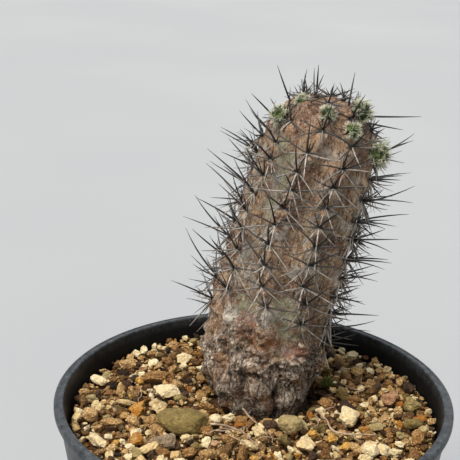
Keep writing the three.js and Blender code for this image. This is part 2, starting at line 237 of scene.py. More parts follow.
class Bundle:
    """Gathers many small closed bodies into one mesh, with a value per body on its points."""

    def __init__(self, *keys):
        self.points, self.faces, self.count = [], [], 0
        self.values = {key: [] for key in keys}

    def take(self, points, faces, **values):
        """Adds one body."""
        self.points.append(points)
        self.faces += [tuple(i + self.count for i in face) for face in faces]
        self.count += len(points)
        for key, data in values.items():
            self.values[key].append(np.broadcast_to(data, len(points)))

    def piece(self, name, material, slot, smooth=True):
        """Makes the piece of all the bodies taken."""
        values = {key: np.concatenate(data) for key, data in self.values.items()}
        points = np.concatenate(self.points)
        return new_piece(name, points, self.faces, material, slot, smooth, **values)


def turn_to(direction):
    """A 3x3 turn, as rows, whose last row is the direction."""
    out = np.asarray(direction, float) / np.linalg.norm(direction)
    helper = np.array([0, 0, 1.0]) if abs(out[2]) < 0.9 else np.array([1.0, 0, 0])
    side = np.cross(helper, out)
    side /= np.linalg.norm(side)
    return np.array([side, np.cross(out, side), out])


# %% [markdown]
# ## Nursery pot
#
# The pot is injection-moulded polypropylene: about 1.7 mm thick, tapered so that it leaves its
# mould, with a lip that stiffens the rim. A profile turned round the axis is how such a pot is
# drawn, so the mesh is made the same way. The lip is two small roundings with a slightly dished
# band between them, because that is what makes the double highlight along a moulded rim.

# %% Pot sizes
POT_HEIGHT = 90.0
RIM_RADIUS = 52.5
LIP_WIDTH = 2.6
LIP_DROP = 2.5
OVERHANG = 0.9
WALL = 1.7
FOOT_RADIUS = 39.0
FOOT_WIDTH = 3.0
FOOT_HEIGHT = 3.0
FLOOR = 1.8
DRAINS = [(0.0, 0.0, 6.0)] + [
    (22 * math.cos(math.radians(45 + 90 * k)), 22 * math.sin(math.radians(45 + 90 * k)), 4.0)
    for k in range(4)
]
POT_SIDES = 192
POT_SWAY = 0.0006


def outer_radius(height):
    """The pot's outside at a height above the floor."""
    return FOOT_RADIUS + (RIM_RADIUS - OVERHANG - FOOT_RADIUS) * height / POT_HEIGHT


def inner_radius(height):
    """The pot's inside at a height above the floor."""
    return outer_radius(height) - WALL


def arc(centre, radius, start, end, steps):
    """Points of an arc in the profile, as radius and height."""
    turns = np.radians(np.linspace(start, end, steps + 1))
    return [(centre[0] + radius * math.cos(t), centre[1] + radius * math.sin(t)) for t in turns]


print("pot:", 2 * RIM_RADIUS, "mm across,", POT_HEIGHT, "mm high, drain holes:", len(DRAINS))

# %% [markdown]
# The plastic is polypropylene coloured with carbon black and injection-moulded: a dielectric with
# an index of refraction of 1.49. A fine mould texture leaves it satin, so its highlights are broad
# and blue-grey from the sky. Handling leaves a pale film and scuffs on the lip and the outside. The
# inside is painted near black, darker than the outside, as painted shade for the shadowed inner
# wall, so each point stores whether it is handled and outside that painted shade. The film's
# blotches measure about 1.9 mm and its scuffs 1.4 mm. The mould texture is 0.2 mm, drawn at 0.5 mm
# so that it shows.

# %% Moulded polypropylene
pot_plastic, tree, shader = new_material("moulded_polypropylene")
place = add(tree, "TexCoord", out="Object")
handled = add(tree, "Attribute", out="Fac", attribute_name="handled")
film = add(tree, "TexNoise", {"Vector": place, "Scale": 520, "Detail": 8, "Roughness": 0.75}, "Fac")
scuffs = add(tree, "TexNoise", {"Vector": place, "Scale": 700, "Detail": 5, "Roughness": 0.75}, "Fac")
mould = add(tree, "TexNoise", {"Vector": place, "Scale": 2000, "Detail": 2, "Roughness": 0.6}, "Fac")
# Painted shade: the inner wall is 020203, near black, against 181b1c on the lip and the outside.
tone = add(tree, "Mix", {0: handled, 6: linear("020203"), 7: linear("181b1c")}, 2, data_type="RGBA")
tone = wash(tree, tone, "51565a", film, 0.36, 0.74, only=handled)
tone = wash(tree, tone, "6d7377", scuffs, 0.56, 0.7, 0.6, only=handled)
satin = add(tree, "MapRange", {"Value": handled, "To Min": 0.62, "To Max": 0.4}, "Result")
raised = add(tree, "Bump", {"Height": mould, "Strength": 0.15, "Distance": 0.0002}, "Normal")
feed(tree, shader, {"Base Color": tone, "Roughness": satin, "Normal": raised})
feed(tree, shader, {"IOR": 1.49, "Specular IOR Level": 0.25})
print("plastic nodes:", len(tree.nodes))

# %% [markdown]
# The pot could be cylinders cut from each other, but then its roundings would need bevels that
# break at the thin lip. One profile holds wall, lip, floor and foot ring with their own arcs, and
# 192 turns of it look round at any size. Only the five drain holes are cut, by one boolean.


# %% Pot mesh
def pot_profile():
    """Radius and height along the section, from the middle of the underside to that of the floor."""
    crease = POT_HEIGHT - LIP_DROP
    edge, lip_edge = 0.85, 0.6
    inner_lip = RIM_RADIUS - LIP_WIDTH
    profile = [(0.0, FOOT_HEIGHT), (FOOT_RADIUS - FOOT_WIDTH - 0.8, FOOT_HEIGHT)]
    profile += arc((FOOT_RADIUS - FOOT_WIDTH + 0.4, 0.4), 0.4, 180, 270, 3)
    profile += arc((FOOT_RADIUS - 0.5, 0.5), 0.5, 270, 352, 4)
    profile += [(outer_radius(h), h) for h in np.linspace(4, crease - 0.4, 24)]
    profile += arc((outer_radius(crease) + 0.3, crease - 0.1), 0.3, 180, 90, 3)
    profile += arc((RIM_RADIUS - edge, crease + edge + 0.35), edge, -60, 20, 5)
    profile += arc((RIM_RADIUS - edge, POT_HEIGHT - edge), edge, 10, 95, 6)
    middle = RIM_RADIUS - LIP_WIDTH / 2
    profile += [(middle + 0.25, POT_HEIGHT - 0.12), (middle - 0.25, POT_HEIGHT - 0.16)]
    profile += arc((inner_lip + lip_edge, POT_HEIGHT - lip_edge - 0.08), lip_edge, 85, 190, 6)
    profile += [(inner_radius(h), h) for h in np.linspace(crease - 0.6, 8, 22)]
    profile += arc((inner_radius(7) - 2.0, FOOT_HEIGHT + FLOOR + 2.0), 2.0, 0, -90, 5)
    profile += [(0.0, FOOT_HEIGHT + FLOOR)]
    return np.array(profile)


def turned(profile, sides, wobble=0.0):
    """A profile turned round the axis. Its first and last points lie on the axis."""
    turns = np.linspace(0, 2 * math.pi, sides, endpoint=False)
    ring = profile[1:-1]
    sway = 1 + wobble * np.sin(3 * turns + 0.6) + 0.5 * wobble * np.sin(7 * turns)
    rings = np.stack(
        [
            ring[:, :1] * np.cos(turns) * sway,
            ring[:, :1] * np.sin(turns) * sway,
            np.broadcast_to(ring[:, 1:], (len(ring), sides)),
        ],
        -1,
    )
    return capped_tube(rings)


def drill(piece, holes, low, high):
    """Cuts round holes through a piece with one boolean, then keeps the cut mesh."""
    cutters = Bundle()
    for x, y, radius in holes:
        turns = np.linspace(0, 2 * math.pi, 48, endpoint=False)
        circle = np.stack([x + radius * np.cos(turns), y + radius * np.sin(turns)], -1)
        rings = np.stack([np.c_[circle, np.full(48, z)] for z in (low, high)])
        cutters.take(*capped_tube(rings))
    mesh = bpy.data.meshes.new("cutter")
    mesh.from_pydata((np.concatenate(cutters.points) * MM).tolist(), [], cutters.faces)
    cutter = bpy.data.objects.new("cutter", mesh)
    bpy.context.collection.objects.link(cutter)
    cut = piece.modifiers.new("drains", "BOOLEAN")
    cut.operation, cut.solver, cut.object = "DIFFERENCE", "EXACT", cutter
    shape = bpy.data.meshes.new_from_object(piece.evaluated_get(bpy.context.evaluated_depsgraph_get()))
    piece.modifiers.clear()
    piece.data = shape
    bpy.data.objects.remove(cutter)


# %% [markdown]
# The wall of a moulded pot is never quite round, so it sways by 0.06 percent. Points on the lip and
# the outside count as handled and outside the painted shade, and the inner wall takes the painted
# shade. Edges sharper than 40 degrees, as at the drain holes, stay sharp.

# %% Pot
pot_points, pot_faces = turned(pot_profile(), POT_SIDES, POT_SWAY)
reach = np.hypot(pot_points[:, 0], pot_points[:, 1])
# Where this mask is 0, on the inner wall, the material paints shade.
handled = smoothstep(reach, RIM_RADIUS - LIP_WIDTH - 0.5, RIM_RADIUS - LIP_WIDTH + 0.4)
handled = np.maximum(handled, reach > outer_radius(pot_points[:, 2]) - 0.6)
pot = new_piece("nursery_pot", pot_points, pot_faces, pot_plastic, "pot_plastic", handled=handled)
drill(pot, DRAINS, FOOT_HEIGHT - 2, FOOT_HEIGHT + FLOOR + 2)
pot.data.set_sharp_from_angle(angle=math.radians(40))
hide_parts("pot")
print("pot faces:", len(pot.data.polygons))

# %% [markdown]
# ## The stem's shape
#
# The stem is one grown body. Its centre line leans right and slightly back. Round it stand nine low
# ribs, which drift round the stem as they climb. A point on the skin is given by its bearing from
# the third rib and by how far up the stem it lies, so ribs, bumps, scars and spines can all be
# placed by the same two numbers. The centre line is a smooth curve through the same points as in
# the CAD model, so both models agree.

# %% Stem sizes
AXIS = [
    (2.5, 12.6, POT_HEIGHT - 13.8),
    (2.4, 13.8, POT_HEIGHT - 5.8),
    (2.3, 14.9, POT_HEIGHT + 5),
    (4.4, 16.2, POT_HEIGHT + 18),
    (8.5, 17.8, POT_HEIGHT + 33.6),
    (11.6, 19.1, POT_HEIGHT + 45),
    (14.3, 20.3, POT_HEIGHT + 56),
    (16.0, 21.4, POT_HEIGHT + 66.4),
    (16.8, 22.1, POT_HEIGHT + 73.6),
]
RIB_BEARINGS = [-78, -38, 0, 38, 82, 122, 161, 201, 241]
RIB_DEPTH = 1.5
BURIED = 8.0
LENGTH = 81.0
CROWN_DOME = 16.0
FOOT_DOME = 16.0
DOME_POWER = 2.3
CROWN_PEAK, CROWN_PEAK_LENGTH = 1.9, 10.0


def smooth_curve(corners, steps=60):
    """A centripetal Catmull-Rom curve through the corners, with many points on each stretch."""
    c = np.array(corners, float)
    c = np.concatenate([[2 * c[0] - c[1]], c, [2 * c[-1] - c[-2]]])
    out = []
    for p0, p1, p2, p3 in zip(c, c[1:], c[2:], c[3:]):
        t0, t1 = 0.0, math.sqrt(np.linalg.norm(p1 - p0))
        t2 = t1 + math.sqrt(np.linalg.norm(p2 - p1))
        t3 = t2 + math.sqrt(np.linalg.norm(p3 - p2))
        t = np.linspace(t1, t2, steps, endpoint=False)[:, None]
        a1 = (t1 - t) / (t1 - t0) * p0 + (t - t0) / (t1 - t0) * p1
        a2 = (t2 - t) / (t2 - t1) * p1 + (t - t1) / (t2 - t1) * p2
        a3 = (t3 - t) / (t3 - t2) * p2 + (t - t2) / (t3 - t2) * p3
        b1 = (t2 - t) / (t2 - t0) * a1 + (t - t0) / (t2 - t0) * a2
        b2 = (t3 - t) / (t3 - t1) * a2 + (t - t1) / (t3 - t1) * a3
        out.append((t2 - t) / (t2 - t1) * b1 + (t - t1) / (t2 - t1) * b2)
    return np.concatenate(out + [c[-2:-1]])


axis_points = smooth_curve(AXIS)
axis_length = np.concatenate([[0], np.cumsum(np.linalg.norm(np.diff(axis_points, axis=0), axis=1))])
axis_up = axis_length / axis_length[-1] * (LENGTH + BURIED) - BURIED
axis_slope = np.gradient(axis_points, axis=0)


def stem_frame(up):
    """The centre, tangent, forward and right directions at these heights up the stem."""
    up = np.clip(up, -BURIED, LENGTH)
    centre = np.stack([np.interp(up, axis_up, axis_points[:, k]) for k in range(3)], -1)
    tangent = unit(np.stack([np.interp(up, axis_up, axis_slope[:, k]) for k in range(3)], -1))
    forward = np.array([0, -1.0, 0]) - tangent * -tangent[..., 1:2]
    forward = unit(forward)
    return centre, tangent, forward, np.cross(tangent, forward)


def stem_radius(up):
    """The stem's radius on a rib's crest: a slight belly between two domed ends."""
    body = 14.6 + 1.6 * np.sin(math.pi * np.clip(up, 0, 60) / 70)
    crown = (up - LENGTH + CROWN_DOME) / CROWN_DOME
    foot = (FOOT_DOME - BURIED - up) / FOOT_DOME
    past = np.clip(np.maximum(crown, foot), 0, 1)
    return body * (1 - past**DOME_POWER) ** (1 / DOME_POWER)


def rib_twist(up):
    """How many degrees the ribs have drifted round the stem at a height."""
    return -24 + 0.026 * (np.maximum(up, 20) - 48) ** 2


def valley(bearing):
    """0 on a rib's crest and 1 in the valley beside it."""
    crests = np.array(RIB_BEARINGS + [RIB_BEARINGS[0] + 360], float)
    turned_bearing = (np.asarray(bearing, float) - crests[0]) % 360 + crests[0]
    along = np.interp(turned_bearing, crests, np.arange(len(crests)))
    return 0.5 - 0.5 * np.cos(2 * math.pi * along)


def rib_depth(up):
    """How deep the valleys are: less at the foot and none at the crown."""
    crown_fade = smoothstep(LENGTH - up, 0, 14)
    foot_fade = 0.45 + 0.55 * smoothstep(up, 8, 30)
    return RIB_DEPTH * crown_fade * foot_fade


def skin_point(rib_bearing, up, room=0.0):
    """The point on the smooth skin at a bearing from the third rib and a height up the stem."""
    centre, tangent, forward, right = stem_frame(up)
    peak = CROWN_PEAK * smoothstep(up, LENGTH - CROWN_PEAK_LENGTH, LENGTH)
    centre = centre + peak[..., None] * tangent
    turn = np.radians(rib_bearing + rib_twist(up))
    radius = np.maximum(stem_radius(up) - rib_depth(up) * valley(rib_bearing), 0) + room
    return centre + radius[..., None] * (np.sin(turn)[..., None] * right + np.cos(turn)[..., None] * forward)


def skin_axes(rib_bearing, up):
    """The skin point with its outward, up-the-rib and across directions."""
    b, u = np.array([rib_bearing, rib_bearing, rib_bearing + 2.0, rib_bearing - 2.0]), up
    ups = np.array([u + 0.4, u - 0.4, u, u])
    above, below, right, left = skin_point(b, np.clip(ups, -BURIED, LENGTH))
    across = unit(right - left)
    out = unit(np.cross(across, unit(above - below)))
    here = skin_point(np.array([rib_bearing]), np.array([float(up)]))[0]
    return here, out, np.cross(out, across), across


print("stem axis length:", round(float(axis_length[-1]), 1), "mm")

# %% [markdown]
# ## Areoles
#
# Spines, buds and wool all come from areoles, small felt pads along the crest of each rib. They
# stand about 5.2 mm apart. Each rib starts at its own height, so neighbours are staggered. Near the
# foot the oldest areoles have lost their spines and are left as knobs in the bark.

# %% Areole places
AREOLE_STEP = 5.2
HIGHEST_AREOLE = 79.6
LOWEST_WITH_SPINES = [21, 25, 25, 22, 13, 13, 17, 17, 15]
CENTRAL_SPINES = [  # how much longer, and degrees more upright, on each rib
    (1.3, 20), (1.05, 2), (1.0, 0), (1.0, 6), (1.15, 24), (1.2, 18), (1.0, 10), (1.15, 16), (1.35, 22)
]
FINE_SPINES = [2, 1, 0, 1, 4, 4, 2, 1, 1]
HALF_GROWN = (4, 5, 6, 8)  # ribs behind, whose newest spines are still short
RIB_SHIFT = [0.5, 1.0, 0.0, -2.2, 1.0, -1.3, 0.4, -2.0, 1.6]
random.seed(11)
areoles = []
for rib, bearing in enumerate(RIB_BEARINGS):
    up = HIGHEST_AREOLE + min(RIB_SHIFT[rib], 0.6)
    while up > 4:
        sway = random.uniform(-2.2, 2.2)
        areoles.append({"rib": rib, "bearing": bearing + sway, "up": up + random.uniform(-0.4, 0.4)})
        up -= AREOLE_STEP
print("areoles:", len(areoles))

# %% [markdown]
# ## Corky skin
#
# An old cactus stem barks over: its green skin dries from the foot up into thin corky layers that
# crack into short upright fibres and, at the foot, into scales. The large forms are real geometry:
# ribs, a chin under each areole, knobs and scales. They move the points of a fine grid along its
# own normals. Only what is finer than the grid's 0.3 mm is left to the material's bump.

# %% Stem mesh
FRESH_SKIN = (4, 21, 11, 6.5)  # bearing, height, half width and half height of a bare place
STEM_SIDES = 300
DOME_ROWS, BODY_ROWS = 44, 270


def grid_rows():
    """The grid's heights up the stem, closer together on the domes."""
    dome = LENGTH - CROWN_DOME * (1 - np.sin(np.radians(np.linspace(0, 89.5, DOME_ROWS))))
    foot = -BURIED + FOOT_DOME * (1 - np.sin(np.radians(np.linspace(89, 0, 10))))
    body = np.linspace(FOOT_DOME - BURIED, LENGTH - CROWN_DOME, BODY_ROWS)
    return np.concatenate([foot[:-1], body, dome[1:]])


def cells(points, size, seed=0.0):
    """Distance to the nearest cell centre, and the gap to the next one, in cell sizes."""
    scaled = np.asarray(points) / size + seed
    found = [noise.voronoi(Vector(p))[0] for p in scaled.tolist()]
    near = np.array([f[0] for f in found])
    return near, np.array([f[1] for f in found]) - near


ups, bearings = np.meshgrid(
    grid_rows(), np.linspace(-180, 180, STEM_SIDES, endpoint=False), indexing="ij"
)
smooth_skin = skin_point(bearings, ups)
down_rib = np.gradient(smooth_skin, axis=0)
round_stem = np.roll(smooth_skin, -1, 1) - np.roll(smooth_skin, 1, 1)
normals = unit(np.cross(round_stem, down_rib))
print("rows and sides of the stem's grid:", ups.shape)

# %% [markdown]
# Noise has to follow the plant. In the stem's straightened shape, with the lean taken out, a pattern
# drawn longer in height runs up the stem everywhere. Cells in that shape, bent by noise so that
# they don't look like tiles, give the scales of the bark: a raised rim round a hollow.

# %% Bark forms
radii = stem_radius(ups)
turns = np.radians(bearings + rib_twist(ups))
straight = np.stack([radii * np.sin(turns), -radii * np.cos(turns), ups], -1).reshape(-1, 3)
up_flat, bearing_flat = ups.ravel(), bearings.ravel()
front = bearing_flat + rib_twist(up_flat)
breakup = field(straight, 2.4, 5, 21.0)


def patch_amount(places):
    """How much of a patch covers each point. Bearings are from the front, not from a rib."""
    amount = np.zeros(len(up_flat))
    for bearing, up, width, height in places:
        across = np.radians((front - bearing + 180) % 360 - 180) * radii.ravel()
        spread = (across / width) ** 2 + ((up_flat - up) / height) ** 2
        amount = np.maximum(amount, smoothstep(1.1 - spread + 1.3 * breakup, 0.0, 1.2))
    return amount


foot_bark = smoothstep(up_flat + 8 * field(straight, 8.0, 4, 5.0) + 4 * np.cos(np.radians(front)), 27, 15)
foot_bark *= 1 - 0.85 * patch_amount([FRESH_SKIN])
lumps = field(straight, 9.0, 3)
ripples = field(straight * (1, 1, 0.5), 1.6, 4, 3.0)
knots = field(straight, 3.0, 4, 9.0)
bend = np.stack([knots, ripples, -knots], -1)
large, large_gap = cells(straight * (1, 1, 0.7) + 1.6 * bend, 4.6)
small_gap = cells(straight * (1, 1, 0.8) + 0.9 * bend, 2.1, 7.0)[1]
rim = np.maximum(smoothstep(large_gap, 0.22, 0.05), 0.8 * smoothstep(small_gap, 0.22, 0.04))
rim *= smoothstep(knots, -0.35, 0.35)
hollow = smoothstep(large, 0.45, 0.1) * smoothstep(knots, 0.1, -0.3)
print("share of the skin barked over:", round(float(foot_bark.mean()), 2))

# %% [markdown]
# Each areole sits above a chin, a bump 1 mm high, and in a small notch. At the foot, where the
# areoles are old and bare, the chins are larger and the notches shallower. All the forms add up to
# one relief in millimetres, which fades out at the two ends of the grid.

# %% Chins, notches and relief
chin = np.zeros(len(up_flat))
notch = np.zeros(len(up_flat))
for areole in areoles:
    across = (bearing_flat - areole["bearing"] + 180) % 360 - 180
    across = np.radians(across) * radii.ravel()
    above = up_flat - areole["up"]
    reach = np.abs(above) < 6
    above, across = above[reach], across[reach]
    worn = 1.0 if areole["up"] > 24 else 1.3
    chin[reach] += worn * np.exp(-((above + 1.6) ** 2) / 3.2 - across**2 / 9.0)
    notch[reach] += min(worn, 1 / worn) * np.exp(-(above**2) / 0.8 - across**2 / 1.2)

relief = 0.6 * lumps + 0.26 * (1 - foot_bark) * ripples + 0.95 * chin - 0.45 * notch
relief -= 0.5 * valley(bearing_flat) * smoothstep(up_flat, 6, 20)
crust = field(straight, 2.2, 4, 31.0)
relief += foot_bark * (0.4 * rim - 1.2 * hollow - 0.1 + 1.2 * knots + 0.9 * crust)
relief += 1.6 * foot_bark * field(straight, 6.0, 3, 13.0)
relief += 1.7 * smoothstep(up_flat, 9, 0) * smoothstep(np.cos(np.radians(front)), -0.2, 0.8)
relief *= smoothstep(radii.ravel(), 0.5, 4)
skin = smooth_skin + normals * relief.reshape(ups.shape)[..., None]
print("relief from", round(float(relief.min()), 1), "to", round(float(relief.max()), 1), "mm")

# %% [markdown]
# Patches of colour on the real skin are its history: green where the cork hasn't yet closed, pale
# scars where something rubbed, pinkish fresh cork. Each is placed by bearing and height, given a
# width and height in millimetres, and broken up with noise so that no edge is clean.

# %% Patches on the skin
PATCHES = {  # bearing from the front, height up the stem, half width, half height
    "green": [
        (-36, 61, 3.0, 8), (-40, 52, 2.4, 5), (-44, 70, 1.6, 3), (10, 27, 5, 4),
        (20, 22, 4, 3), (-30, 26, 3.5, 3), (150, 58, 5, 7),
    ],
    "blush": [
        (-46, 57, 1.5, 2.5), (20, 63, 1.8, 3), (-26, 22, 3, 5),
        (0, 18, 4, 2), (34, 16, 4, 3.4), (200, 40, 4, 5),
    ],
    "scar": [
        (-43, 60, 1.6, 6), (-52, 42, 2.2, 6), (-30, 36, 1.6, 5), (4, 38, 1.2, 4),
        (-16, 46, 1.2, 4), (14, 66, 1.2, 1.4), (-33, 54, 1.2, 3), (-24, 47, 1.4, 2),
        (110, 50, 2, 3), (-120, 55, 2, 3),
    ],
    "rust": [
        (38, 7, 2, 4), (-52, 6, 2, 4), (-18, 3, 4, 2), (8, 2, 4, 2), (-4, 19, 5, 3), (170, 9, 4, 4),
    ],
}
stem_values = {name: patch_amount(places) for name, places in PATCHES.items()}
stem_values["foot"] = foot_bark
stem_values["rim"] = foot_bark * rim
# Painted shade: dark in the rib valleys, the notches by the areoles and the hollows of the scales.
stem_values["painted_hollow_shade"] = np.clip(0.35 * valley(bearing_flat) + 0.8 * notch + foot_bark * hollow, 0, 1)
# Painted shade at the stem's lowest part, where it goes into the grit.
stem_values["painted_foot_shade"] = smoothstep(up_flat + 3.0 * knots, 9, 0)
stem_values = {key: np.concatenate([data, data[-2:]]) for key, data in stem_values.items()}
stem_values["straight"] = np.concatenate([straight, [[0, 0, -BURIED], [0, 0, LENGTH]]])
stem_points, stem_faces = capped_tube(skin)
print("values stored on the skin:", ", ".join(stem_values))

# %% [markdown]
# The bark's material: cork is matt, with a roughness near 0.9 and hardly any highlight. Its colour
# is layered from old to fresh: ochre and grey-brown cork, with darker red-brown where a layer has
# split. Its grain is 0.3 to 0.7 mm, with a fine crackle, longer up the stem than across. It reads
# the stored "straight" place, in which the stem stands upright, so the grain bends with the stem.

# %% Bark patterns
stem_bark, tree, shader = new_material("corky_bark")
upright = add(tree, "Attribute", out="Vector", attribute_name="straight")
height = add(tree, "SeparateXYZ", {"Vector": upright}, "Z")
drawn_out = add(tree, "Mapping", {"Vector": upright, "Scale": (1, 1, 0.45)}, "Vector")
long_way = add(tree, "Mapping", {"Vector": upright, "Scale": (1, 1, 0.12)}, "Vector")
BARK_NOISES = {  # place, features per millimetre, detail, roughness
    "fibres": (drawn_out, 1.5, 6, 0.75),
    "grain": (upright, 1.5, 5, 0.8),
    "mottle": (upright, 0.16, 6, 0.6),
    "warm": (drawn_out, 0.33, 5, 0.65),
    "streaks": (long_way, 1.0, 5, 0.7),
    "stains": (upright, 0.36, 5, 0.7),
    "ochre": (drawn_out, 0.3, 4, 0.6),
}
bark = {}
for name, (place, scale, detail, rough) in BARK_NOISES.items():
    links = {"Vector": place, "Scale": scale, "Detail": detail, "Roughness": rough}
    bark[name] = add(tree, "TexNoise", links, "Fac")
sway = add(tree, "TexNoise", {"Vector": upright, "Scale": 0.9, "Detail": 4}, "Color")
swayed = add(tree, "VectorMath", {0: drawn_out, 1: sway}, "Vector", operation="ADD")
for name, scale in (("crackle", 0.62), ("splits", 0.24)):
    links = {"Vector": swayed, "Scale": scale}
    bark[name] = add(tree, "TexVoronoi", links, "Distance", feature="DISTANCE_TO_EDGE")
for name in ("foot", "rim", "painted_hollow_shade", "painted_foot_shade", *PATCHES):
    bark[name] = add(tree, "Attribute", out="Fac", attribute_name=name)
print("bark patterns:", ", ".join(bark))

# %% [markdown]
# The real colours go on in the order in which they came about on the plant: the cork itself, the
# dark scales and stains of the foot, the weathering in streaks and flecks, then the patches of
# history, and last the dark of cracks. Painted shade is laid in among them: at the stem's lowest
# part, where it goes into the grit, and last in the rib valleys, the notches by the areoles and the
# hollows of the scales.

# %% Corky bark
MOTTLE = [(0.36, "7e5c48"), (0.45, "a98468"), (0.51, "caa67c"), (0.57, "baa896"), (0.68, "f0e6d6")]
FLAKES = [(0.38, "17110c"), (0.46, "765c48"), (0.54, "b89c80"), (0.62, "f6ecdc")]
cork = add(tree, "ValToRGB", {"Fac": bark["mottle"]}, "Color", MOTTLE)
cork = wash(tree, cork, "8c5038", bark["warm"], 0.52, 0.64, 0.48)
cork = wash(tree, cork, "b9b0a8", bark["warm"], 0.44, 0.34, 0.55)
cork = wash(tree, cork, "b78c70", height, 50, 75, 0.35)
flakes = add(tree, "ValToRGB", {"Fac": bark["grain"]}, "Color", FLAKES)
cork = wash(tree, cork, flakes, bark["foot"], 0.0, 1.0, 0.85)
cork = wash(tree, cork, "2c1d12", bark["stains"], 0.52, 0.64, 0.7, only=bark["foot"])
# Painted shade: the lowest part of the stem darkened towards 2e1f13.
cork = wash(tree, cork, "2e1f13", bark["painted_foot_shade"], 0.0, 1.0, 0.5)
cork = wash(tree, cork, "ddd2c3", bark["rim"], 0.1, 1.0, 0.55)
cork = wash(tree, cork, "6d4c38", bark["streaks"], 0.46, 0.35, 0.6)
cork = wash(tree, cork, "e8d8c0", bark["streaks"], 0.54, 0.66, 0.6)
cork = wash(tree, cork, "2e2018", bark["fibres"], 0.49, 0.38, 0.9)
flecks = wash(tree, linear("fff6e8"), "dcc8b2", height, 40, 70)
cork = wash(tree, cork, flecks, bark["grain"], 0.53, 0.65, 0.95)
PATCH_COLOURS = {"green": "b0b592", "blush": "a8705a", "scar": "c4c1b8", "rust": "98622f"}
for name, colour in PATCH_COLOURS.items():  # a patch shows between the flecks
    cork = wash(tree, cork, colour, bark["grain"], 0.66, 0.46, 0.8, only=bark[name])
cork = wash(tree, cork, "94622c", bark["ochre"], 0.54, 0.62, 0.55, only=bark["foot"])
cork = wash(tree, cork, "35261d", bark["crackle"], 0.06, 0.0, 0.5)
cork = wash(tree, cork, "17100c", bark["splits"], 0.05, 0.01, 0.7, only=bark["foot"])
# Painted shade in the valleys, notches and scale hollows.
cork = wash(tree, cork, "1f1611", bark["painted_hollow_shade"], 0.2, 1.0, 0.8)
rough_height = add(tree, "Math", {0: bark["fibres"], 1: bark["grain"]}, "Value", operation="ADD")
dryness = add(tree, "MapRange", {"Value": bark["grain"], "To Min": 0.95, "To Max": 0.72}, "Result")
deep = {"Height": rough_height, "Strength": 1.0, "Distance": 0.0009}
bark_bump = add(tree, "Bump", deep, "Normal")
feed(tree, shader, {"Base Color": cork, "Roughness": dryness, "Normal": bark_bump})
feed(tree, shader, {"Specular IOR Level": 0.3})

stem = new_piece("cactus_stem", stem_points, stem_faces, stem_bark, "corky_skin", **stem_values)
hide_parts("stem")
print("stem points:", len(stem.data.vertices))

# %% [markdown]
# ## Spines
#
# A cactus spine is a hardened leaf, horn-like and straight or faintly bent, 0.3 to 0.6 mm thick at
# its base. Each areole carries one or two centrals that stand out and up, a pair of laterals to
# each side, and shorter ones that point down. A tapered tube with a slight bow gives each of them.
# Old lower spines bleach to grey, so an age is stored on each.

# %% Spine material
spine_horn, tree, shader = new_material("horn_spine")
place = add(tree, "TexCoord", out="Object")
age = add(tree, "Attribute", out="Fac", attribute_name="age")
bands = add(tree, "TexNoise", {"Vector": place, "Scale": 900, "Detail": 3, "Roughness": 0.6}, "Fac")
AGED_HORN = [(0.0, "161515"), (0.4, "4c4844"), (0.68, "948c82"), (1.0, "c8c0b4")]
tone = add(tree, "ValToRGB", {"Fac": age}, "Color", AGED_HORN)
tone = wash(tree, tone, "1a1715", bands, 0.55, 0.38, 0.6)
surface(tree, shader, tone, bands, (0.36, 0.52), 0.00004)
feed(tree, shader, {"IOR": 1.54})
print("horn nodes:", len(tree.nodes))

# %% [markdown]
# One tapered tube, bowed by a share of its length, serves for every spine, hair and moss shoot. A
# curve with a bevel would look the same, but arrays are quicker by the thousand. The lump is the
# other shape that recurs: a ball cut by flat planes and roughened, for felt pads, bud scales and
# stones.


# %% Spine shape
def thorn(base, direction, length, thick, bow, sides=6, rows=6):
    """A closed tapered tube that bends sideways by bow, a share of its length."""
    side, other, out = turn_to(direction)
    lean = bow[0] * side + bow[1] * other
    along = np.linspace(0, 1, rows)
    middle = base + length * (along[:, None] * out + (along[:, None] ** 2) * lean)
    width = 0.5 * thick * (1 - along**2.2 * 0.85)
    turns = np.linspace(0, 2 * math.pi, sides, endpoint=False)
    ring = np.cos(turns)[:, None] * side + np.sin(turns)[:, None] * other
    return capped_tube(middle[:, None] + width[:, None, None] * ring)


def lump(size, seed, rounds=2, cuts=0, rough=0.1, keep=(0.62, 0.9), boxy=1.0, crumbs=0.0):
    """A closed lump of this size at the origin: a fine ball, made boxy, cut flat and roughened."""
    shape = bmesh.new()
    bmesh.ops.create_icosphere(shape, subdivisions=rounds, radius=1)
    points = np.array([v.co[:] for v in shape.verts])
    faces = [[v.index for v in face.verts] for face in shape.faces]
    shape.free()
    draw = random.Random(seed)
    points = np.sign(points) * np.abs(points) ** boxy
    for _ in range(cuts):
        normal = unit(np.array([draw.gauss(0, 1) for _ in range(3)]))
        depth = points @ normal - draw.uniform(*keep)
        points -= np.maximum(depth, 0)[:, None] * normal
    swell = rough * field(points + seed, 0.75, 3) + crumbs * field(points + seed, 0.22, 2)
    points *= (1 + swell)[:, None]
    return points * np.array(size) / 2, faces


# %% [markdown]
# An areole's spines stand as a star. A turn of 0 degrees points up the rib and 180 down it, and the
# lift says how far a spine leaves the skin. Younger spines near the crown are shorter and darker.


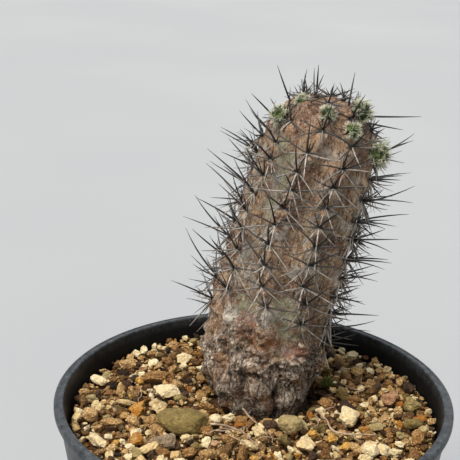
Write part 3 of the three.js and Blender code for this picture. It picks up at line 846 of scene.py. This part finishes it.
# %% Star of spines
def star(bundle, areole, draw):
    """One areole's pad and spines, laid on the skin."""
    here, out, along, across = skin_axes(areole["bearing"], areole["up"])
    young = smoothstep(areole["up"], 66, 79)
    pad, pad_faces = lump((1.5, 1.8, 1.0), draw.random() * 50, 2, 0, 0.25)
    bundle.take(here + pad @ np.array([across, along, out]), pad_faces, age=0.1 + 0.25 * draw.random())

    def grow(turn, lift, length, thick, age):
        """One spine, a little off its place as on the real plant."""
        turn = math.radians(turn + draw.gauss(0, 9))
        lift = math.radians(lift + draw.gauss(0, 6))
        flat = math.cos(turn) * along + math.sin(turn) * across
        direction = math.cos(lift) * flat + math.sin(lift) * out
        bow = (draw.uniform(-0.2, 0.2), draw.uniform(-0.2, 0.2))
        points, faces = thorn(here + 0.35 * out, direction, length * draw.uniform(0.7, 1.2), thick, bow)
        bundle.take(points, faces, age=float(np.clip(age + draw.uniform(-0.15, 0.15), 0, 1)))

    longer, lifted = CENTRAL_SPINES[areole["rib"]]
    longer = 1 + (longer - 1) * (1 - young)
    if areole["rib"] in HALF_GROWN:
        longer *= 1 - 0.62 * smoothstep(areole["up"], 69, 75)
    old = float(0.22 * (1 - young))
    grow(draw.uniform(-20, 20), 46 + 10 * young + lifted, 10.2 * longer * (1 - 0.35 * young), 0.54, 0.02)
    if draw.random() < 0.5:
        grow(draw.choice((-45, 45)), 50 + lifted, 9.0 * longer, 0.46, 0.05)
    for side in (-1, 1):
        if draw.random() < 0.6:
            grow(side * 36, 26, 6.2 - 2.5 * young, 0.36, 0.1)
        if draw.random() < 1 - 0.5 * young:
            grow(side * 72, 20, 10.8 - 4.5 * young, 0.48, 0.24 + 0.6 * old)
        if draw.random() < 1 - 0.5 * young:
            grow(side * 108, 16, 10.4 - 4.5 * young, 0.5, 0.38 + old)
        if draw.random() < 0.8 - 0.4 * young:
            grow(side * 148, 14, 8.4 - 3.5 * young, 0.46, 0.5 + old)
    grow(180, 17, 6.8 - 2.5 * young, 0.48, 0.62 + old)
    for _ in range(FINE_SPINES[areole["rib"]]):
        grow(draw.uniform(-180, 180), draw.uniform(15, 50), 6.5 - 2.8 * young, 0.32, 0.25)


# %% [markdown]
# The spines of a rib are three pieces, low, middle and upper, as in the CAD model, so each piece
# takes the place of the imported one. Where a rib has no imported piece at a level, its own is added.

# %% Spines on every rib
LEVELS = {"low": (0, 42), "middle": (42, 57.5), "upper": (57.5, 99)}
draw = random.Random(4)
packed = set(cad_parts)
for rib in range(len(RIB_BEARINGS)):
    for level, (low, high) in LEVELS.items():
        lowest = max(low, LOWEST_WITH_SPINES[rib])
        group = [a for a in areoles if a["rib"] == rib and lowest <= a["up"] < high]
        bundle = Bundle("age")
        for areole in group:
            star(bundle, areole, draw)
        piece = bundle.piece(f"spines_{rib + 1}_{level}", spine_horn, "spine_horn")
        node = f"spines_rib_{rib + 1}_{level}"
        if node in packed:
            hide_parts(node)
print("ribs with spines:", len(RIB_BEARINGS), "in", len(LEVELS), "levels")

# %% [markdown]
# The crown's own spines are the youngest and blackest. Short ones stand in bunches round the top.
# Six long ones stand well clear of the plant, and each is given by the bearing and height that it
# grows from and the point in space where it ends.

# %% Spines of the crown
LONG_SPINES = [  # rib bearing, height up the stem, and the tip in mm from the pot's axis
    (200, 80.3, (14.3, 21.0, 173.6)),
    (-73, 78.4, (3.6, 19.0, 173.6)),
    (48, 79.6, (23.8, 21.0, 172.0)),
    (78, 77.6, (42.0, 20.0, 160.6)),
    (50, 77.0, (36.5, 14.0, 158.4)),
    (80, 75.0, (33.0, 20.0, 154.3)),
]
crown = Bundle("age")
for bearing in (190, 205, 215, -80, -55, 62, 78, 92):
    here, out, along, across = skin_axes(bearing, LENGTH - draw.uniform(0.7, 2.2))
    for _ in range(3):
        direction = out + 1.5 * (draw.uniform(-1, 1) * along + draw.uniform(-1, 1) * across)
        bow = (draw.uniform(-0.1, 0.1), draw.uniform(-0.1, 0.1))
        crown.take(*thorn(here, direction, draw.uniform(2.2, 5.2), 0.34, bow), age=draw.uniform(0, 0.3))
for bearing, up, tip in LONG_SPINES:
    here = skin_axes(bearing, up)[0]
    reach = np.array(tip) - here
    crown.take(*thorn(here, reach, np.linalg.norm(reach), 0.56, (0.02, 0.02)), age=0.02)
crown_spines = crown.piece("spines_at_the_crown", spine_horn, "spine_horn")
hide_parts("spines_crown")
print("crown spines, faces:", len(crown_spines.data.polygons))

# %% [markdown]
# ## Woolly buds
#
# The buds are covered in small green scales, and a tuft of cream bristles grows from under each.
# Scales are laid out on a golden-angle spiral, as on the real bud. Hair is made as real thin
# tapered tubes and not as a hair system, so that it is part of the mesh and leaves with it.

# %% Bud materials
bud_green, tree, shader = new_material("bud_scale")
place = add(tree, "TexCoord", out="Object")
blotch = add(tree, "TexNoise", {"Vector": place, "Scale": 700, "Detail": 4, "Roughness": 0.6}, "Fac")
fine = add(tree, "TexNoise", {"Vector": place, "Scale": 1500, "Detail": 3, "Roughness": 0.6}, "Fac")
BUD_GREENS = [(0.35, "161f0c"), (0.52, "34441a"), (0.72, "6c7a3e")]
tone = add(tree, "ValToRGB", {"Fac": blotch}, "Color", BUD_GREENS)
surface(tree, shader, tone, fine, (0.5, 0.75), 0.00015)

bud_hair, tree, shader = new_material("bud_wool")
place = add(tree, "TexCoord", out="Object")
age = add(tree, "Attribute", out="Fac", attribute_name="age")
blotch = add(tree, "TexNoise", {"Vector": place, "Scale": 800, "Detail": 3, "Roughness": 0.6}, "Fac")
fine = add(tree, "TexNoise", {"Vector": place, "Scale": 2500, "Detail": 2, "Roughness": 0.6}, "Fac")
ROOT_TO_TIP = [(0.0, "26301a"), (0.45, "bdbf94"), (1.0, "fffdec")]
tone = add(tree, "ValToRGB", {"Fac": age}, "Color", ROOT_TO_TIP)
tone = wash(tree, tone, "6f6a48", blotch, 0.6, 0.35, 0.5)
surface(tree, shader, tone, fine, (0.6, 0.85), 0.00003)
print("bud materials:", bud_green.name, "and", bud_hair.name)

# %% [markdown]
# A bud is a round core with scales on it, and every scale carries a tuft. The tufts stray and bow,
# and their hairs lighten from root to tip. The last loop adds the few dark spines of the bud's
# own areole, which stand round its foot.

# %% Buds
BUDS = {  # bearing from the front, height up the stem, width and height
    "bud_upper_left": (-62, 75.5, 4.6, 3.8),
    "bud_top_left": (-45, 79.0, 2.6, 2.2),
    "bud_top_middle": (0, 77.4, 3.2, 2.8),
    "bud_top_right": (54, 78.0, 5.4, 4.4),
    "bud_small_right": (31, 75.0, 3.4, 2.8),
    "bud_side_right": (68, 70.4, 6.6, 5.2),
}
BUD_FULLNESS = 0.95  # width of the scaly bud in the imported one, which its wool fills up
GOLDEN_ANGLE = math.pi * (3 - math.sqrt(5))


def make_bud(node, bearing, up, width, height, draw):
    """A bud's scales, hair and spines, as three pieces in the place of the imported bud."""
    rib_bearing = bearing - float(rib_twist(np.array(up)))
    width *= BUD_FULLNESS
    here, out, along, across = skin_axes(rib_bearing, up)
    axes = np.array([across, along, out])
    scales, hair, guard = Bundle(), Bundle("age"), Bundle("age")
    core, faces = lump((width * 0.8, width * 0.8, height * 0.85), draw.random() * 40, 3, 0, 0.2)
    centre = here + out * height * 0.3
    scales.take(centre + core @ axes, faces)
    count = int(6 + width * 3)
    for k in range(count):
        rise = 1 - 1.3 * (k + 0.5) / count
        ring = math.sqrt(max(1 - rise * rise, 0))
        turn = k * GOLDEN_ANGLE + draw.uniform(-0.3, 0.3)
        spread = np.array([ring * math.cos(turn), ring * math.sin(turn), rise])
        foot = centre + (spread * (width / 2.5, width / 2.5, height / 2.4)) @ axes
        direction = unit(spread @ axes + 0.3 * out)
        scale, scale_faces = lump((1.25, 1.25, 1.5), draw.random() * 40, 2, 3, 0.25)
        scales.take(foot + scale @ turn_to(direction), scale_faces)
        tuft_lean = np.array([draw.gauss(0, 0.25) for _ in range(3)])
        for _ in range(18 if rise > 0.5 else 42):
            stray = tuft_lean + np.array([draw.gauss(0, 0.28) for _ in range(3)])
            bow = (draw.uniform(-0.5, 0.5), draw.uniform(-0.5, 0.5))
            length = draw.uniform(0.9, 2.1) * (0.3 + 0.7 * width / 6)
            root = foot + 0.45 * direction + 0.4 * stray
            points, hair_faces = thorn(root, direction + stray, length, 0.1, bow, 3, 4)
            age = np.clip(np.linspace(0.1, 1.0, 4).repeat(3) + draw.uniform(-0.15, 0.25), 0, 1)
            hair.take(points, hair_faces, age=np.append(age, (0.0, 0.9)))
    for k in range(7):
        turn = 2 * math.pi * (k + draw.random()) / 7
        flat = math.cos(turn) * along + math.sin(turn) * across
        direction = flat + draw.uniform(0.1, 0.6) * out
        root = here + 0.28 * width * flat
        bow = (draw.uniform(-0.1, 0.1), draw.uniform(-0.1, 0.1))
        guard.take(*thorn(root, direction, draw.uniform(3.0, 6.2), 0.4, bow), age=draw.uniform(0, 0.3))
    body = scales.piece(node.replace("bud", "bud_scales"), bud_green, "bud_wool")
    hair.piece(node.replace("bud", "bud_hair"), bud_hair, "bud_wool")
    guard.piece(node.replace("bud", "bud_spines"), spine_horn, "spine_horn")
    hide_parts(node)


draw = random.Random(8)
for node, (bearing, up, width, height) in BUDS.items():
    make_bud(node, bearing, up, width, height, draw)
print("buds:", len(BUDS))

# %% [markdown]
# ## Grit and stones
#
# The top dressing is a cactus mix: pumice, baked clay, lava, zeolite and a few iron-stained chips.
# Each mineral has its own material made by one function, because they differ in the same few ways:
# colour, how much it varies from grain to grain, and how porous it is. A mineral is matt, with a
# roughness of 0.8 to 0.95. Pores are 0.2 to 0.4 mm across, drawn at 0.7 mm so that they show, and
# they are darkened as painted shade, as are the gaps between crumbs.


# %% Minerals
def mineral(name, dark, middle, light, stain, pore_depth_and_shade, crumb_relief_and_shade, roughness):
    """A stone's material. The grain value stored on each stone shifts its tone."""
    material, tree, shader = new_material(name)
    place = add(tree, "TexCoord", out="Object")
    stone = add(tree, "Attribute", out="Fac", attribute_name="grain")
    links = {"Vector": place, "Scale": 650, "Detail": 6, "Roughness": 0.75}
    blotch = add(tree, "TexNoise", links, "Fac")
    links = {"Vector": place, "Scale": 1500, "Detail": 4, "Roughness": 0.75}
    fine = add(tree, "TexNoise", links, "Fac")
    links = {"Vector": place, "Scale": 260, "Detail": 4, "Roughness": 0.6}
    stains = add(tree, "TexNoise", links, "Fac")
    shift = add(tree, "Math", {0: stone, 1: 0.5}, "Value", operation="MULTIPLY")
    part = add(tree, "Math", {0: blotch, 1: 0.85}, "Value", operation="MULTIPLY")
    level = add(tree, "Math", {0: shift, 1: part}, "Value", operation="ADD")
    stops = [(0.36, dark), (0.64, middle), (0.92, light)]
    tone = add(tree, "ValToRGB", {"Fac": level}, "Color", stops)
    tone = wash(tree, tone, stain, stains, 0.54, 0.7, 0.6)
    # Painted shade: the pores darkened with 2b1c11.
    tone = wash(tree, tone, "2b1c11", fine, 0.5, 0.32, pore_depth_and_shade)
    bent = add(tree, "TexNoise", {"Vector": place, "Scale": 900, "Detail": 3}, "Color")
    bent = add(tree, "VectorMath", {0: bent, 1: (0.0011,) * 3}, "Vector", operation="MULTIPLY")
    bent = add(tree, "VectorMath", {0: place, 1: bent}, "Vector", operation="ADD")
    links = {"Vector": bent, "Scale": 1000}
    crumbs = add(tree, "TexVoronoi", links, "Distance", feature="DISTANCE_TO_EDGE")
    # Painted shade: the gaps between crumbs darkened with the mineral's dark stop. The same amount also
    # raises the crumbs in the bump.
    tone = wash(tree, tone, dark, crumbs, 0.12, 0.0, crumb_relief_and_shade)
    links = {"Value": crumbs, "From Min": 0.0, "From Max": 0.4, "To Max": 0.9 * crumb_relief_and_shade}
    raised = add(tree, "MapRange", links, "Result")
    height = add(tree, "Math", {0: fine, 1: raised}, "Value", operation="ADD")
    surface(tree, shader, tone, height, (roughness - 0.1, roughness), 0.0004 + 0.0006 * pore_depth_and_shade)
    feed(tree, shader, {"Specular IOR Level": 0.35})
    return material


MINERALS = {  # dark, middle, light, stain, pores, crumbly, roughness
    "pumice": mineral("pumice", "b58849", "ecd098", "fff0c6", "c4934a", 0.45, 0.3, 0.92),
    "baked_clay": mineral("baked_clay", "6f4820", "bb8e56", "eac488", "8f5c28", 0.5, 0.75, 0.95),
    "brown_grit": mineral("brown_grit", "3e2612", "8a6434", "bb935f", "5c3818", 0.55, 0.8, 0.92),
    "lava": mineral("lava", "1c110a", "443020", "6b5038", "4c2a14", 0.7, 0.5, 0.95),
    "zeolite": mineral("zeolite", "54441e", "958049", "c8b380", "64501f", 0.5, 0.25, 0.85),
    "ironstone": mineral("ironstone", "804812", "c07e2a", "eab85c", "f0d48c", 0.45, 0.5, 0.85),
    "pink_grit": mineral("pink_grit", "74482e", "ab7c58", "d2ac86", "84543a", 0.5, 0.3, 0.88),
    "grey_grit": mineral("grey_grit", "4e4030", "968064", "bea888", "64523c", 0.5, 0.5, 0.88),
}
print("minerals:", ", ".join(MINERALS))

# %% [markdown]
# The bed under the grains is one closed body, dark because little light gets between them. Grains
# are thrown on it in three passes, as sifting does: a bed of middling grains, larger ones on top
# with room to see them, and dust-fine grit in the gaps. A grain is kept only if it has room among
# its neighbours, which a grid of buckets finds quickly.

# %% Soil bed
SOIL_EDGE = POT_HEIGHT - 6.4
SOIL_TOP = SOIL_EDGE + 0.6
BED_DROP = 2.4
BED_SIDES = 120
STEM_FOOT = (2.4, 14.0)  # where the stem comes out of the grit
TROUGH_DEPTH, TROUGH_START, TROUGH_END = 3.4, 21.0, 15.0


def trough(x, y):
    """How far the grit lies lower round the foot of the stem, where watering has washed it out."""
    reach = np.hypot(x - STEM_FOOT[0], y - STEM_FOOT[1])
    return TROUGH_DEPTH * smoothstep(reach, TROUGH_START, TROUGH_END)


bed_profile = [(0.0, 5.1)]
bed_profile += [(inner_radius(7) - 2.6, 5.1), (inner_radius(8) - 0.3, 8.0)]
bed_profile += [(inner_radius(h) - 0.3, h) for h in np.linspace(14, SOIL_EDGE - BED_DROP, 8)]
bed_profile += [(r, SOIL_TOP - BED_DROP + 0.6 * (r / 50) ** 2) for r in np.linspace(47, 1, 26)]
bed_profile += [(0.0, SOIL_TOP - BED_DROP)]
bed_points, bed_faces = turned(np.array(bed_profile), BED_SIDES)
on_top = bed_points[:, 2] > SOIL_EDGE - BED_DROP - 0.2
bed_points[on_top, 2] -= trough(bed_points[on_top, 0], bed_points[on_top, 1])
bed_points[on_top, 2] += 0.5 * field(bed_points[on_top], 3.0, 3)
bed = new_piece(
    "soil_bed",
    bed_points,
    bed_faces,
    MINERALS["brown_grit"],
    "soil_grit",
    grain=np.full(len(bed_points), 0.1),
)
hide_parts("soil_mix")
print("top of the grit:", SOIL_TOP, "mm, and", TROUGH_DEPTH, "mm lower at the stem's foot")

# %% [markdown]
# Twenty stones can be told apart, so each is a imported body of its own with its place, size, heading
# and mineral. They share three forms: water-worn pebbles, broken shards and a layered slab. A fine
# ball cut by random planes gives the flat faces that a broken stone shows, and sharp edges keep them.

# %% Named stones
STONES = {
    "stone_olive_pebble": (-18.2, -9.4, (11.8, 8.4, 5.4), -6, "zeolite", 0.35, "pebble"),
    "stone_cream_shard": (-23.8, 7.4, (8.3, 5.6, 3.6), 10, "pumice", 0.75, "shard"),
    "stone_olive_at_foot": (9.9, -8.0, (5.4, 5.6, 3.8), 40, "zeolite", 0.8, "pebble"),
    "stone_cream_chip": (25.3, -3.8, (7.4, 6.4, 4.2), -50, "pumice", 0.7, "shard"),
    "stone_grey_flat": (-22.0, -18.8, (7.0, 4.6, 2.8), 8, "grey_grit", 0.6, "layered"),
    "stone_orange": (-28.8, -18.4, (4.5, 4.0, 3.0), 20, "ironstone", 0.4, "shard"),
    "stone_cream_front": (13.4, -17.8, (5.0, 4.4, 3.0), 15, "pumice", 0.6, "shard"),
    "stone_cream_long": (-38.2, -20.2, (7.8, 3.3, 2.8), -54, "pumice", 0.8, "shard"),
    "stone_tan_round": (-42.4, -7.6, (3.8, 3.6, 3.2), 0, "baked_clay", 0.85, "pebble"),
    "stone_tan_flat": (-36.6, -10.8, (6.2, 3.6, 2.4), -4, "baked_clay", 0.6, "shard"),
    "stone_white_round": (-9.6, -6.8, (3.0, 2.8, 2.2), 0, "pumice", 0.9, "pebble"),
    "stone_cream_seed": (-43.4, 11.8, (5.2, 2.1, 2.1), -38, "pumice", 0.85, "pebble"),
    "stone_cream_back": (-20.7, 28.2, (5.2, 3.8, 3.0), 12, "pumice", 0.7, "shard"),
    "stone_two_tone": (-36.6, 22.2, (5.0, 4.6, 3.4), 30, "baked_clay", 0.8, "shard"),
    "stone_brown_long": (-28.2, 15.8, (7.8, 4.6, 3.4), 14, "baked_clay", 0.45, "shard"),
    "stone_pink": (37.2, 6.6, (5.2, 4.6, 3.4), -15, "pink_grit", 0.6, "shard"),
    "stone_olive_grey": (43.2, 3.8, (5.6, 4.6, 3.4), -30, "zeolite", 0.5, "shard"),
    "stone_olive_sliver": (42.2, -6.3, (5.0, 2.6, 2.0), 4, "zeolite", 0.2, "pebble"),
    "stone_cream_small": (29.5, -19.6, (4.4, 3.6, 2.6), -35, "pumice", 0.8, "pebble"),
    "stone_dark_grey": (4.6, -8.8, (3.4, 2.6, 2.2), 10, "lava", 0.7, "pebble"),
}
SLOTS = {
    "pumice": "stone_cream",
    "baked_clay": "stone_tan",
    "brown_grit": "stone_tan",
    "lava": "stone_grey",
    "zeolite": "stone_olive",
    "ironstone": "stone_orange",
    "pink_grit": "stone_pink",
    "grey_grit": "stone_grey",
}
FORMS = {  # flat cuts, roughness, how boxy, crumbs
    "pebble": {"cuts": 3, "rough": 0.09, "boxy": 0.72, "crumbs": 0.025, "keep": (0.8, 0.95)},
    "shard": {"cuts": 18, "rough": 0.16, "boxy": 0.85, "crumbs": 0.05, "keep": (0.55, 0.9)},
    "layered": {"cuts": 12, "rough": 0.10, "boxy": 0.6, "crumbs": 0.07, "keep": (0.6, 0.95)},
}
SPREAD = 49  # how far from the pot's axis the grit reaches, where it lies a little higher
CUT_LOSS = 1.08  # the cuts take this much off a lump
for seed, (node, (x, y, size, heading, kind, grain, form)) in enumerate(STONES.items()):
    points, faces = lump(np.array(size) * CUT_LOSS, seed * 7.3 + 2, 5, **FORMS[form])
    turn = np.array(Matrix.Rotation(math.radians(heading), 3, "Z"))
    lying = SOIL_TOP + 0.12 * size[2] + 0.3 + 0.7 * math.hypot(x, y) ** 2 / SPREAD**2
    points = points @ turn.T + (x, y, lying)
    piece = new_piece(
        node.replace("stone", "loose_stone"),
        points,
        faces,
        MINERALS[kind],
        SLOTS[kind],
        grain=np.full(len(points), grain),
    )
    piece.data.set_sharp_from_angle(angle=math.radians(32))
    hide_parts(node)
print("named stones:", len(STONES))

# %% [markdown]
# The thousands of small grains are thrown with one random generator, so the bed is the same each
# time. They could be instances of a particle system, but an export needs real meshes. Forty shapes,
# each stretched and tilted by chance, are enough that no two grains look alike, and each mineral's
# grains become one mesh.

# %% Loose grains
MIX = [
    ("pumice", 0.29),
    ("baked_clay", 0.33),
    ("brown_grit", 0.16),
    ("lava", 0.09),
    ("zeolite", 0.06),
    ("ironstone", 0.05),
    ("pink_grit", 0.02),
]
LAYERS = [  # least size, most size, height above the soil's top, share of room needed, tries
    (1.8, 3.2, -2.3, 0.74, 9000),
    (2.0, 5.0, -0.2, 0.90, 5000),
    (0.8, 1.6, -1.1, 0.60, 3200),
]
BUCKET = 5.0
SHADE_AND_LITTER_CORNER = (18.6, 11.5)  # dark grains beside the stem, round the moss: painted shadow, with some damp litter
SHADE_AND_LITTER_REACH = 6.8
STEM_CLEARANCE = 13.2  # grains touch the stem's foot but don't stand in it
draw = random.Random(21)
shapes = {
    "small": [lump((1, 1, 1), 100 + k, 2, 5, 0.28, (0.55, 0.9)) for k in range(16)],
    "large": [lump((1, 1, 1), 200 + k, 3, 9, 0.3, (0.5, 0.9), 0.9, 0.22) for k in range(24)],
}
grains = {kind: Bundle("grain") for kind, _ in MIX}


def keep_off(x, y, radius, layer):
    """True where a grain would stand in the wall, in the stem or, on top, in a named stone."""
    if math.hypot(x, y) > inner_radius(SOIL_EDGE) - 0.4 - radius:
        return True
    if math.hypot(x - STEM_FOOT[0], y - STEM_FOOT[1]) < STEM_CLEARANCE + 0.6 * radius:
        return True
    share_of_stone = 0.42 if layer == 0 else 0.5
    return any(
        math.hypot(x - sx, y - sy) < share_of_stone * (size[0] + size[1]) / 2 + 0.6 * radius
        for sx, sy, size, *_ in STONES.values()
    )


count = 0
for layer, (least, most, rise, room, tries) in enumerate(LAYERS):
    buckets = {}
    for _ in range(tries):
        size = least + (most - least) * draw.random() ** 1.6
        reach, turn = SPREAD * math.sqrt(draw.random()), draw.uniform(0, 2 * math.pi)
        x, y = reach * math.cos(turn), reach * math.sin(turn)
        if keep_off(x, y, size / 2, layer):
            continue
        key = (int(x // BUCKET), int(y // BUCKET))
        near_ones = [
            near
            for i in (-1, 0, 1)
            for j in (-1, 0, 1)
            for near in buckets.get((key[0] + i, key[1] + j), [])
        ]
        if any(math.hypot(x - gx, y - gy) < room * (size + gs) / 2 for gx, gy, gs in near_ones):
            continue
        buckets.setdefault(key, []).append((x, y, size))
        kind = draw.choices([k for k, _ in MIX], [w for _, w in MIX])[0]
        # Painted shadow: dark grains right of the stem's foot, with some damp litter.
        if math.hypot(x - SHADE_AND_LITTER_CORNER[0], y - SHADE_AND_LITTER_CORNER[1]) < SHADE_AND_LITTER_REACH and draw.random() < 0.75:
            kind = draw.choice(("lava", "lava", "brown_grit"))
        points, faces = draw.choice(shapes["large" if size > 1.9 and layer == 1 else "small"])
        sides = (draw.uniform(1.0, 1.35), draw.uniform(0.75, 1.0), draw.uniform(0.55, 0.85))
        stretch = size * np.array(sides)
        tilt = Euler((draw.gauss(0, 0.35), draw.gauss(0, 0.35), draw.uniform(0, 6.28))).to_matrix()
        height = SOIL_TOP + 0.9 * (reach / SPREAD) ** 2 + rise - trough(x, y) + draw.uniform(-0.35, 0.35)
        placed = (points * stretch) @ np.array(tilt).T + (x, y, height)
        grains[kind].take(placed, faces, grain=draw.random())
        count += 1
for kind, bundle in grains.items():
    heap = bundle.piece(f"grit_of_{kind}", MINERALS[kind], "soil_grit")
    heap.data.set_sharp_from_angle(angle=math.radians(38))
    print(kind, "faces:", len(heap.data.polygons))
print("grains:", count)

# %% [markdown]
# ## Dry stalks and moss
#
# A few straws lie on the gravel: old stalks about 0.6 mm thick, split and bleached. A curve with a
# round bevel could make one, but a tube swept along a smooth path can be knobbly as well as thinner
# to its end.

# %% Straws
straw, tree, shader = new_material("dry_straw")
place = add(tree, "TexCoord", out="Object")
blotch = add(tree, "TexNoise", {"Vector": place, "Scale": 500, "Detail": 5, "Roughness": 0.6}, "Fac")
fibre = add(tree, "TexNoise", {"Vector": place, "Scale": 1800, "Detail": 3, "Roughness": 0.6}, "Fac")
BLEACHED = [(0.3, "6e5540"), (0.5, "98806a"), (0.7, "c4ae90")]
tone = add(tree, "ValToRGB", {"Fac": blotch}, "Color", BLEACHED)
surface(tree, shader, tone, fibre, (0.65, 0.85), 0.00008)

STALKS = {
    "stalk_long": [(17.4, -3.4), (19.4, -8.6), (20.7, -13.1), (24.2, -14.8), (31.3, -14.4)],
    "stalk_front": [(-2.5, -3.8), (-0.6, -7.8), (1.4, -11.2)],
    "stalk_left": [(-10.8, -11.9), (-6.4, -12.8), (-2.6, -15.4), (0.9, -20.6)],
}


def sweep(path, widths, sides=8):
    """A closed tube along a path, this wide at each of its points."""
    slope = unit(np.gradient(path, axis=0))
    side = unit(np.cross(slope, [0, 0, 1.0]))
    other = np.cross(slope, side)
    turns = np.linspace(0, 2 * math.pi, sides, endpoint=False)
    ring = side[:, None] * np.cos(turns)[:, None] + other[:, None] * np.sin(turns)[:, None]
    return capped_tube(path[:, None] + widths[:, None, None] / 2 * ring)


for node, corners in STALKS.items():
    path = smooth_curve([(x, y, SOIL_TOP + 2.2) for x, y in corners], 14)
    path += 0.18 * np.stack([field(path, 2.0, 2, k) for k in (1.0, 2.0, 3.0)], -1)
    widths = np.linspace(0.62, 0.34, len(path)) * (1 + 0.2 * field(path, 1.0, 2))
    stalk = new_piece(node.replace("stalk", "dry_straw"), *sweep(path, widths), straw, "dry_stalk")
    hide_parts(node)
print("stalks:", len(STALKS))

# %% [markdown]
# Rootlets as thin as thread lie among the grains. Each wanders from its start, turning by chance at
# four corners, and the same sweep makes it.

# %% Rootlets
ROOTLETS = [  # start, heading in degrees, length
    ((-9.5, -14.5), -30, 9),
    ((-6.0, -16.5), -48, 8),
    ((-11.5, -16.0), 12, 10),
    ((-2.0, -13.0), -75, 8),
    ((3.5, -12.5), -110, 7),
    ((1.5, -17.0), 35, 6),
    ((-14.0, -4.0), -70, 6),
    ((16.5, -5.5), -62, 8),
    ((18.5, -3.0), 20, 6),
    ((24.5, -14.0), -25, 7),
    ((-31.0, 6.5), -60, 7),
    ((30.0, 10.0), 120, 6),
]
rootlets = Bundle()
draw = random.Random(5)
for (x, y), heading, length in ROOTLETS:
    corners = [np.array([x, y, SOIL_TOP + draw.uniform(1.3, 2.2)])]
    for _ in range(4):
        heading += draw.uniform(-28, 28)
        ahead = math.radians(heading)
        step = length / 4 * np.array([math.cos(ahead), math.sin(ahead), 0])
        corners.append(corners[-1] + step + (0, 0, draw.uniform(-0.5, 0.5)))
    path = smooth_curve(corners, 8)
    rootlets.take(*sweep(path, np.linspace(0.36, 0.2, len(path)), 5))
rootlets.piece("dry_rootlets", straw, "dry_stalk")
print("rootlets:", len(ROOTLETS))

# %% [markdown]
# The moss grows in the damp corner beside the stem. Each shoot is a small pointed leaf shape, almost
# black at the root and yellow-green at the tip. They lean out from the middle of the tuft, and the
# outer ones are shorter, which gives the tuft its dome.

# %% Moss
moss_green, tree, shader = new_material("moss_shoot")
place = add(tree, "TexCoord", out="Object")
age = add(tree, "Attribute", out="Fac", attribute_name="age")
blotch = add(tree, "TexNoise", {"Vector": place, "Scale": 900, "Detail": 4, "Roughness": 0.6}, "Fac")
MOSS_GREENS = [(0.0, "121405"), (0.6, "40460e"), (1.0, "7d8026")]
tone = add(tree, "ValToRGB", {"Fac": age}, "Color", MOSS_GREENS)
tone = wash(tree, tone, "666a18", blotch, 0.5, 0.65, 0.6)
surface(tree, shader, tone, blotch, (0.5, 0.75), 0.0001)

MOSS_PLACE, MOSS_HALF = (20.9, 16.4), (1.2, 1.9)
SHOOTS = 170
moss = Bundle("age")
draw = random.Random(33)
for _ in range(SHOOTS):
    turn, reach = draw.uniform(0, 2 * math.pi), math.sqrt(draw.random())
    aside, back = reach * math.cos(turn), reach * math.sin(turn)
    across, along = MOSS_PLACE[0] + MOSS_HALF[0] * aside, MOSS_PLACE[1] + MOSS_HALF[1] * back
    foot = np.array([across, along, SOIL_TOP - 0.6])
    direction = (0.7 * aside, 0.7 * back, 1.0)
    bow = (draw.uniform(-0.3, 0.3), draw.uniform(-0.3, 0.3))
    points, faces = thorn(foot, direction, draw.uniform(1.4, 3.0) * (1.1 - 0.4 * reach), 0.32, bow, 4, 4)
    shade = np.append(np.linspace(0, 0.8, 4).repeat(4) + draw.uniform(0, 0.2), (0, 1))
    moss.take(points, faces, age=shade)
moss_tuft = moss.piece("moss_shoots", moss_green, "moss")
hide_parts("moss_tuft")
print("moss shoots:", SHOOTS)

# %% [markdown]
# ## Floor and light
#
# The plant stands on a plain pale floor in soft daylight from the upper left. A sun lamp with a
# very wide angle acts as a big softbox far away: its shadows are soft and the floor stays evenly
# lit. A pale world lights the shadows, and a weak wide lamp behind gives the rim its sheen.

# %% Stage
floor_paint, tree, shader = new_material("pale_floor")
place = add(tree, "TexCoord", out="Object")
wide = add(tree, "TexNoise", {"Vector": place, "Scale": 2.0, "Detail": 2, "Roughness": 0.6}, "Fac")
fine = add(tree, "TexNoise", {"Vector": place, "Scale": 400, "Detail": 4, "Roughness": 0.6}, "Fac")
tone = add(tree, "ValToRGB", {"Fac": wide}, "Color", [(0.3, "a0a3a6"), (0.7, "a8aaab")])
surface(tree, shader, tone, fine, (0.85, 0.95), 0.00002)

FLOOR_RADIUS, FLOOR_SIDES = 5, 96  # radius in metres
turns = np.linspace(0, 2 * math.pi, FLOOR_SIDES, endpoint=False)
circle = np.c_[FLOOR_RADIUS * np.cos(turns), FLOOR_RADIUS * np.sin(turns), np.zeros(FLOOR_SIDES)]
floor_mesh = bpy.data.meshes.new("floor")
floor_mesh.from_pydata(circle.tolist(), [], [tuple(range(FLOOR_SIDES))])
floor_mesh.materials.append(floor_paint)
floor = bpy.data.objects.new("floor", floor_mesh)
bpy.context.collection.objects.link(floor)

world = bpy.data.worlds.new("daylight")
world.use_nodes = True
sky = {"Color": linear("e4e8ec"), "Strength": 0.72}
feed(world.node_tree, world.node_tree.nodes["Background"], sky)
bpy.context.scene.world = world


def softbox(name, aim, strength, spread, tint):
    """A wide sun lamp that shines along aim."""
    light = bpy.data.lights.new(name, "SUN")
    light.energy, light.angle = strength, math.radians(spread)
    light.color = linear(tint)[:3]
    lamp = bpy.data.objects.new(name, light)
    lamp.rotation_euler = Vector(aim).to_track_quat("-Z", "Y").to_euler()
    bpy.context.collection.objects.link(lamp)


softbox("window", (0.40, 0.42, -1.0), 3.8, 28, "fff9f0")
softbox("sky_behind", (-0.2, -1.0, -0.8), 0.5, 60, "e8f0ff")
print("lamps:", ", ".join(light.name for light in bpy.data.lights))
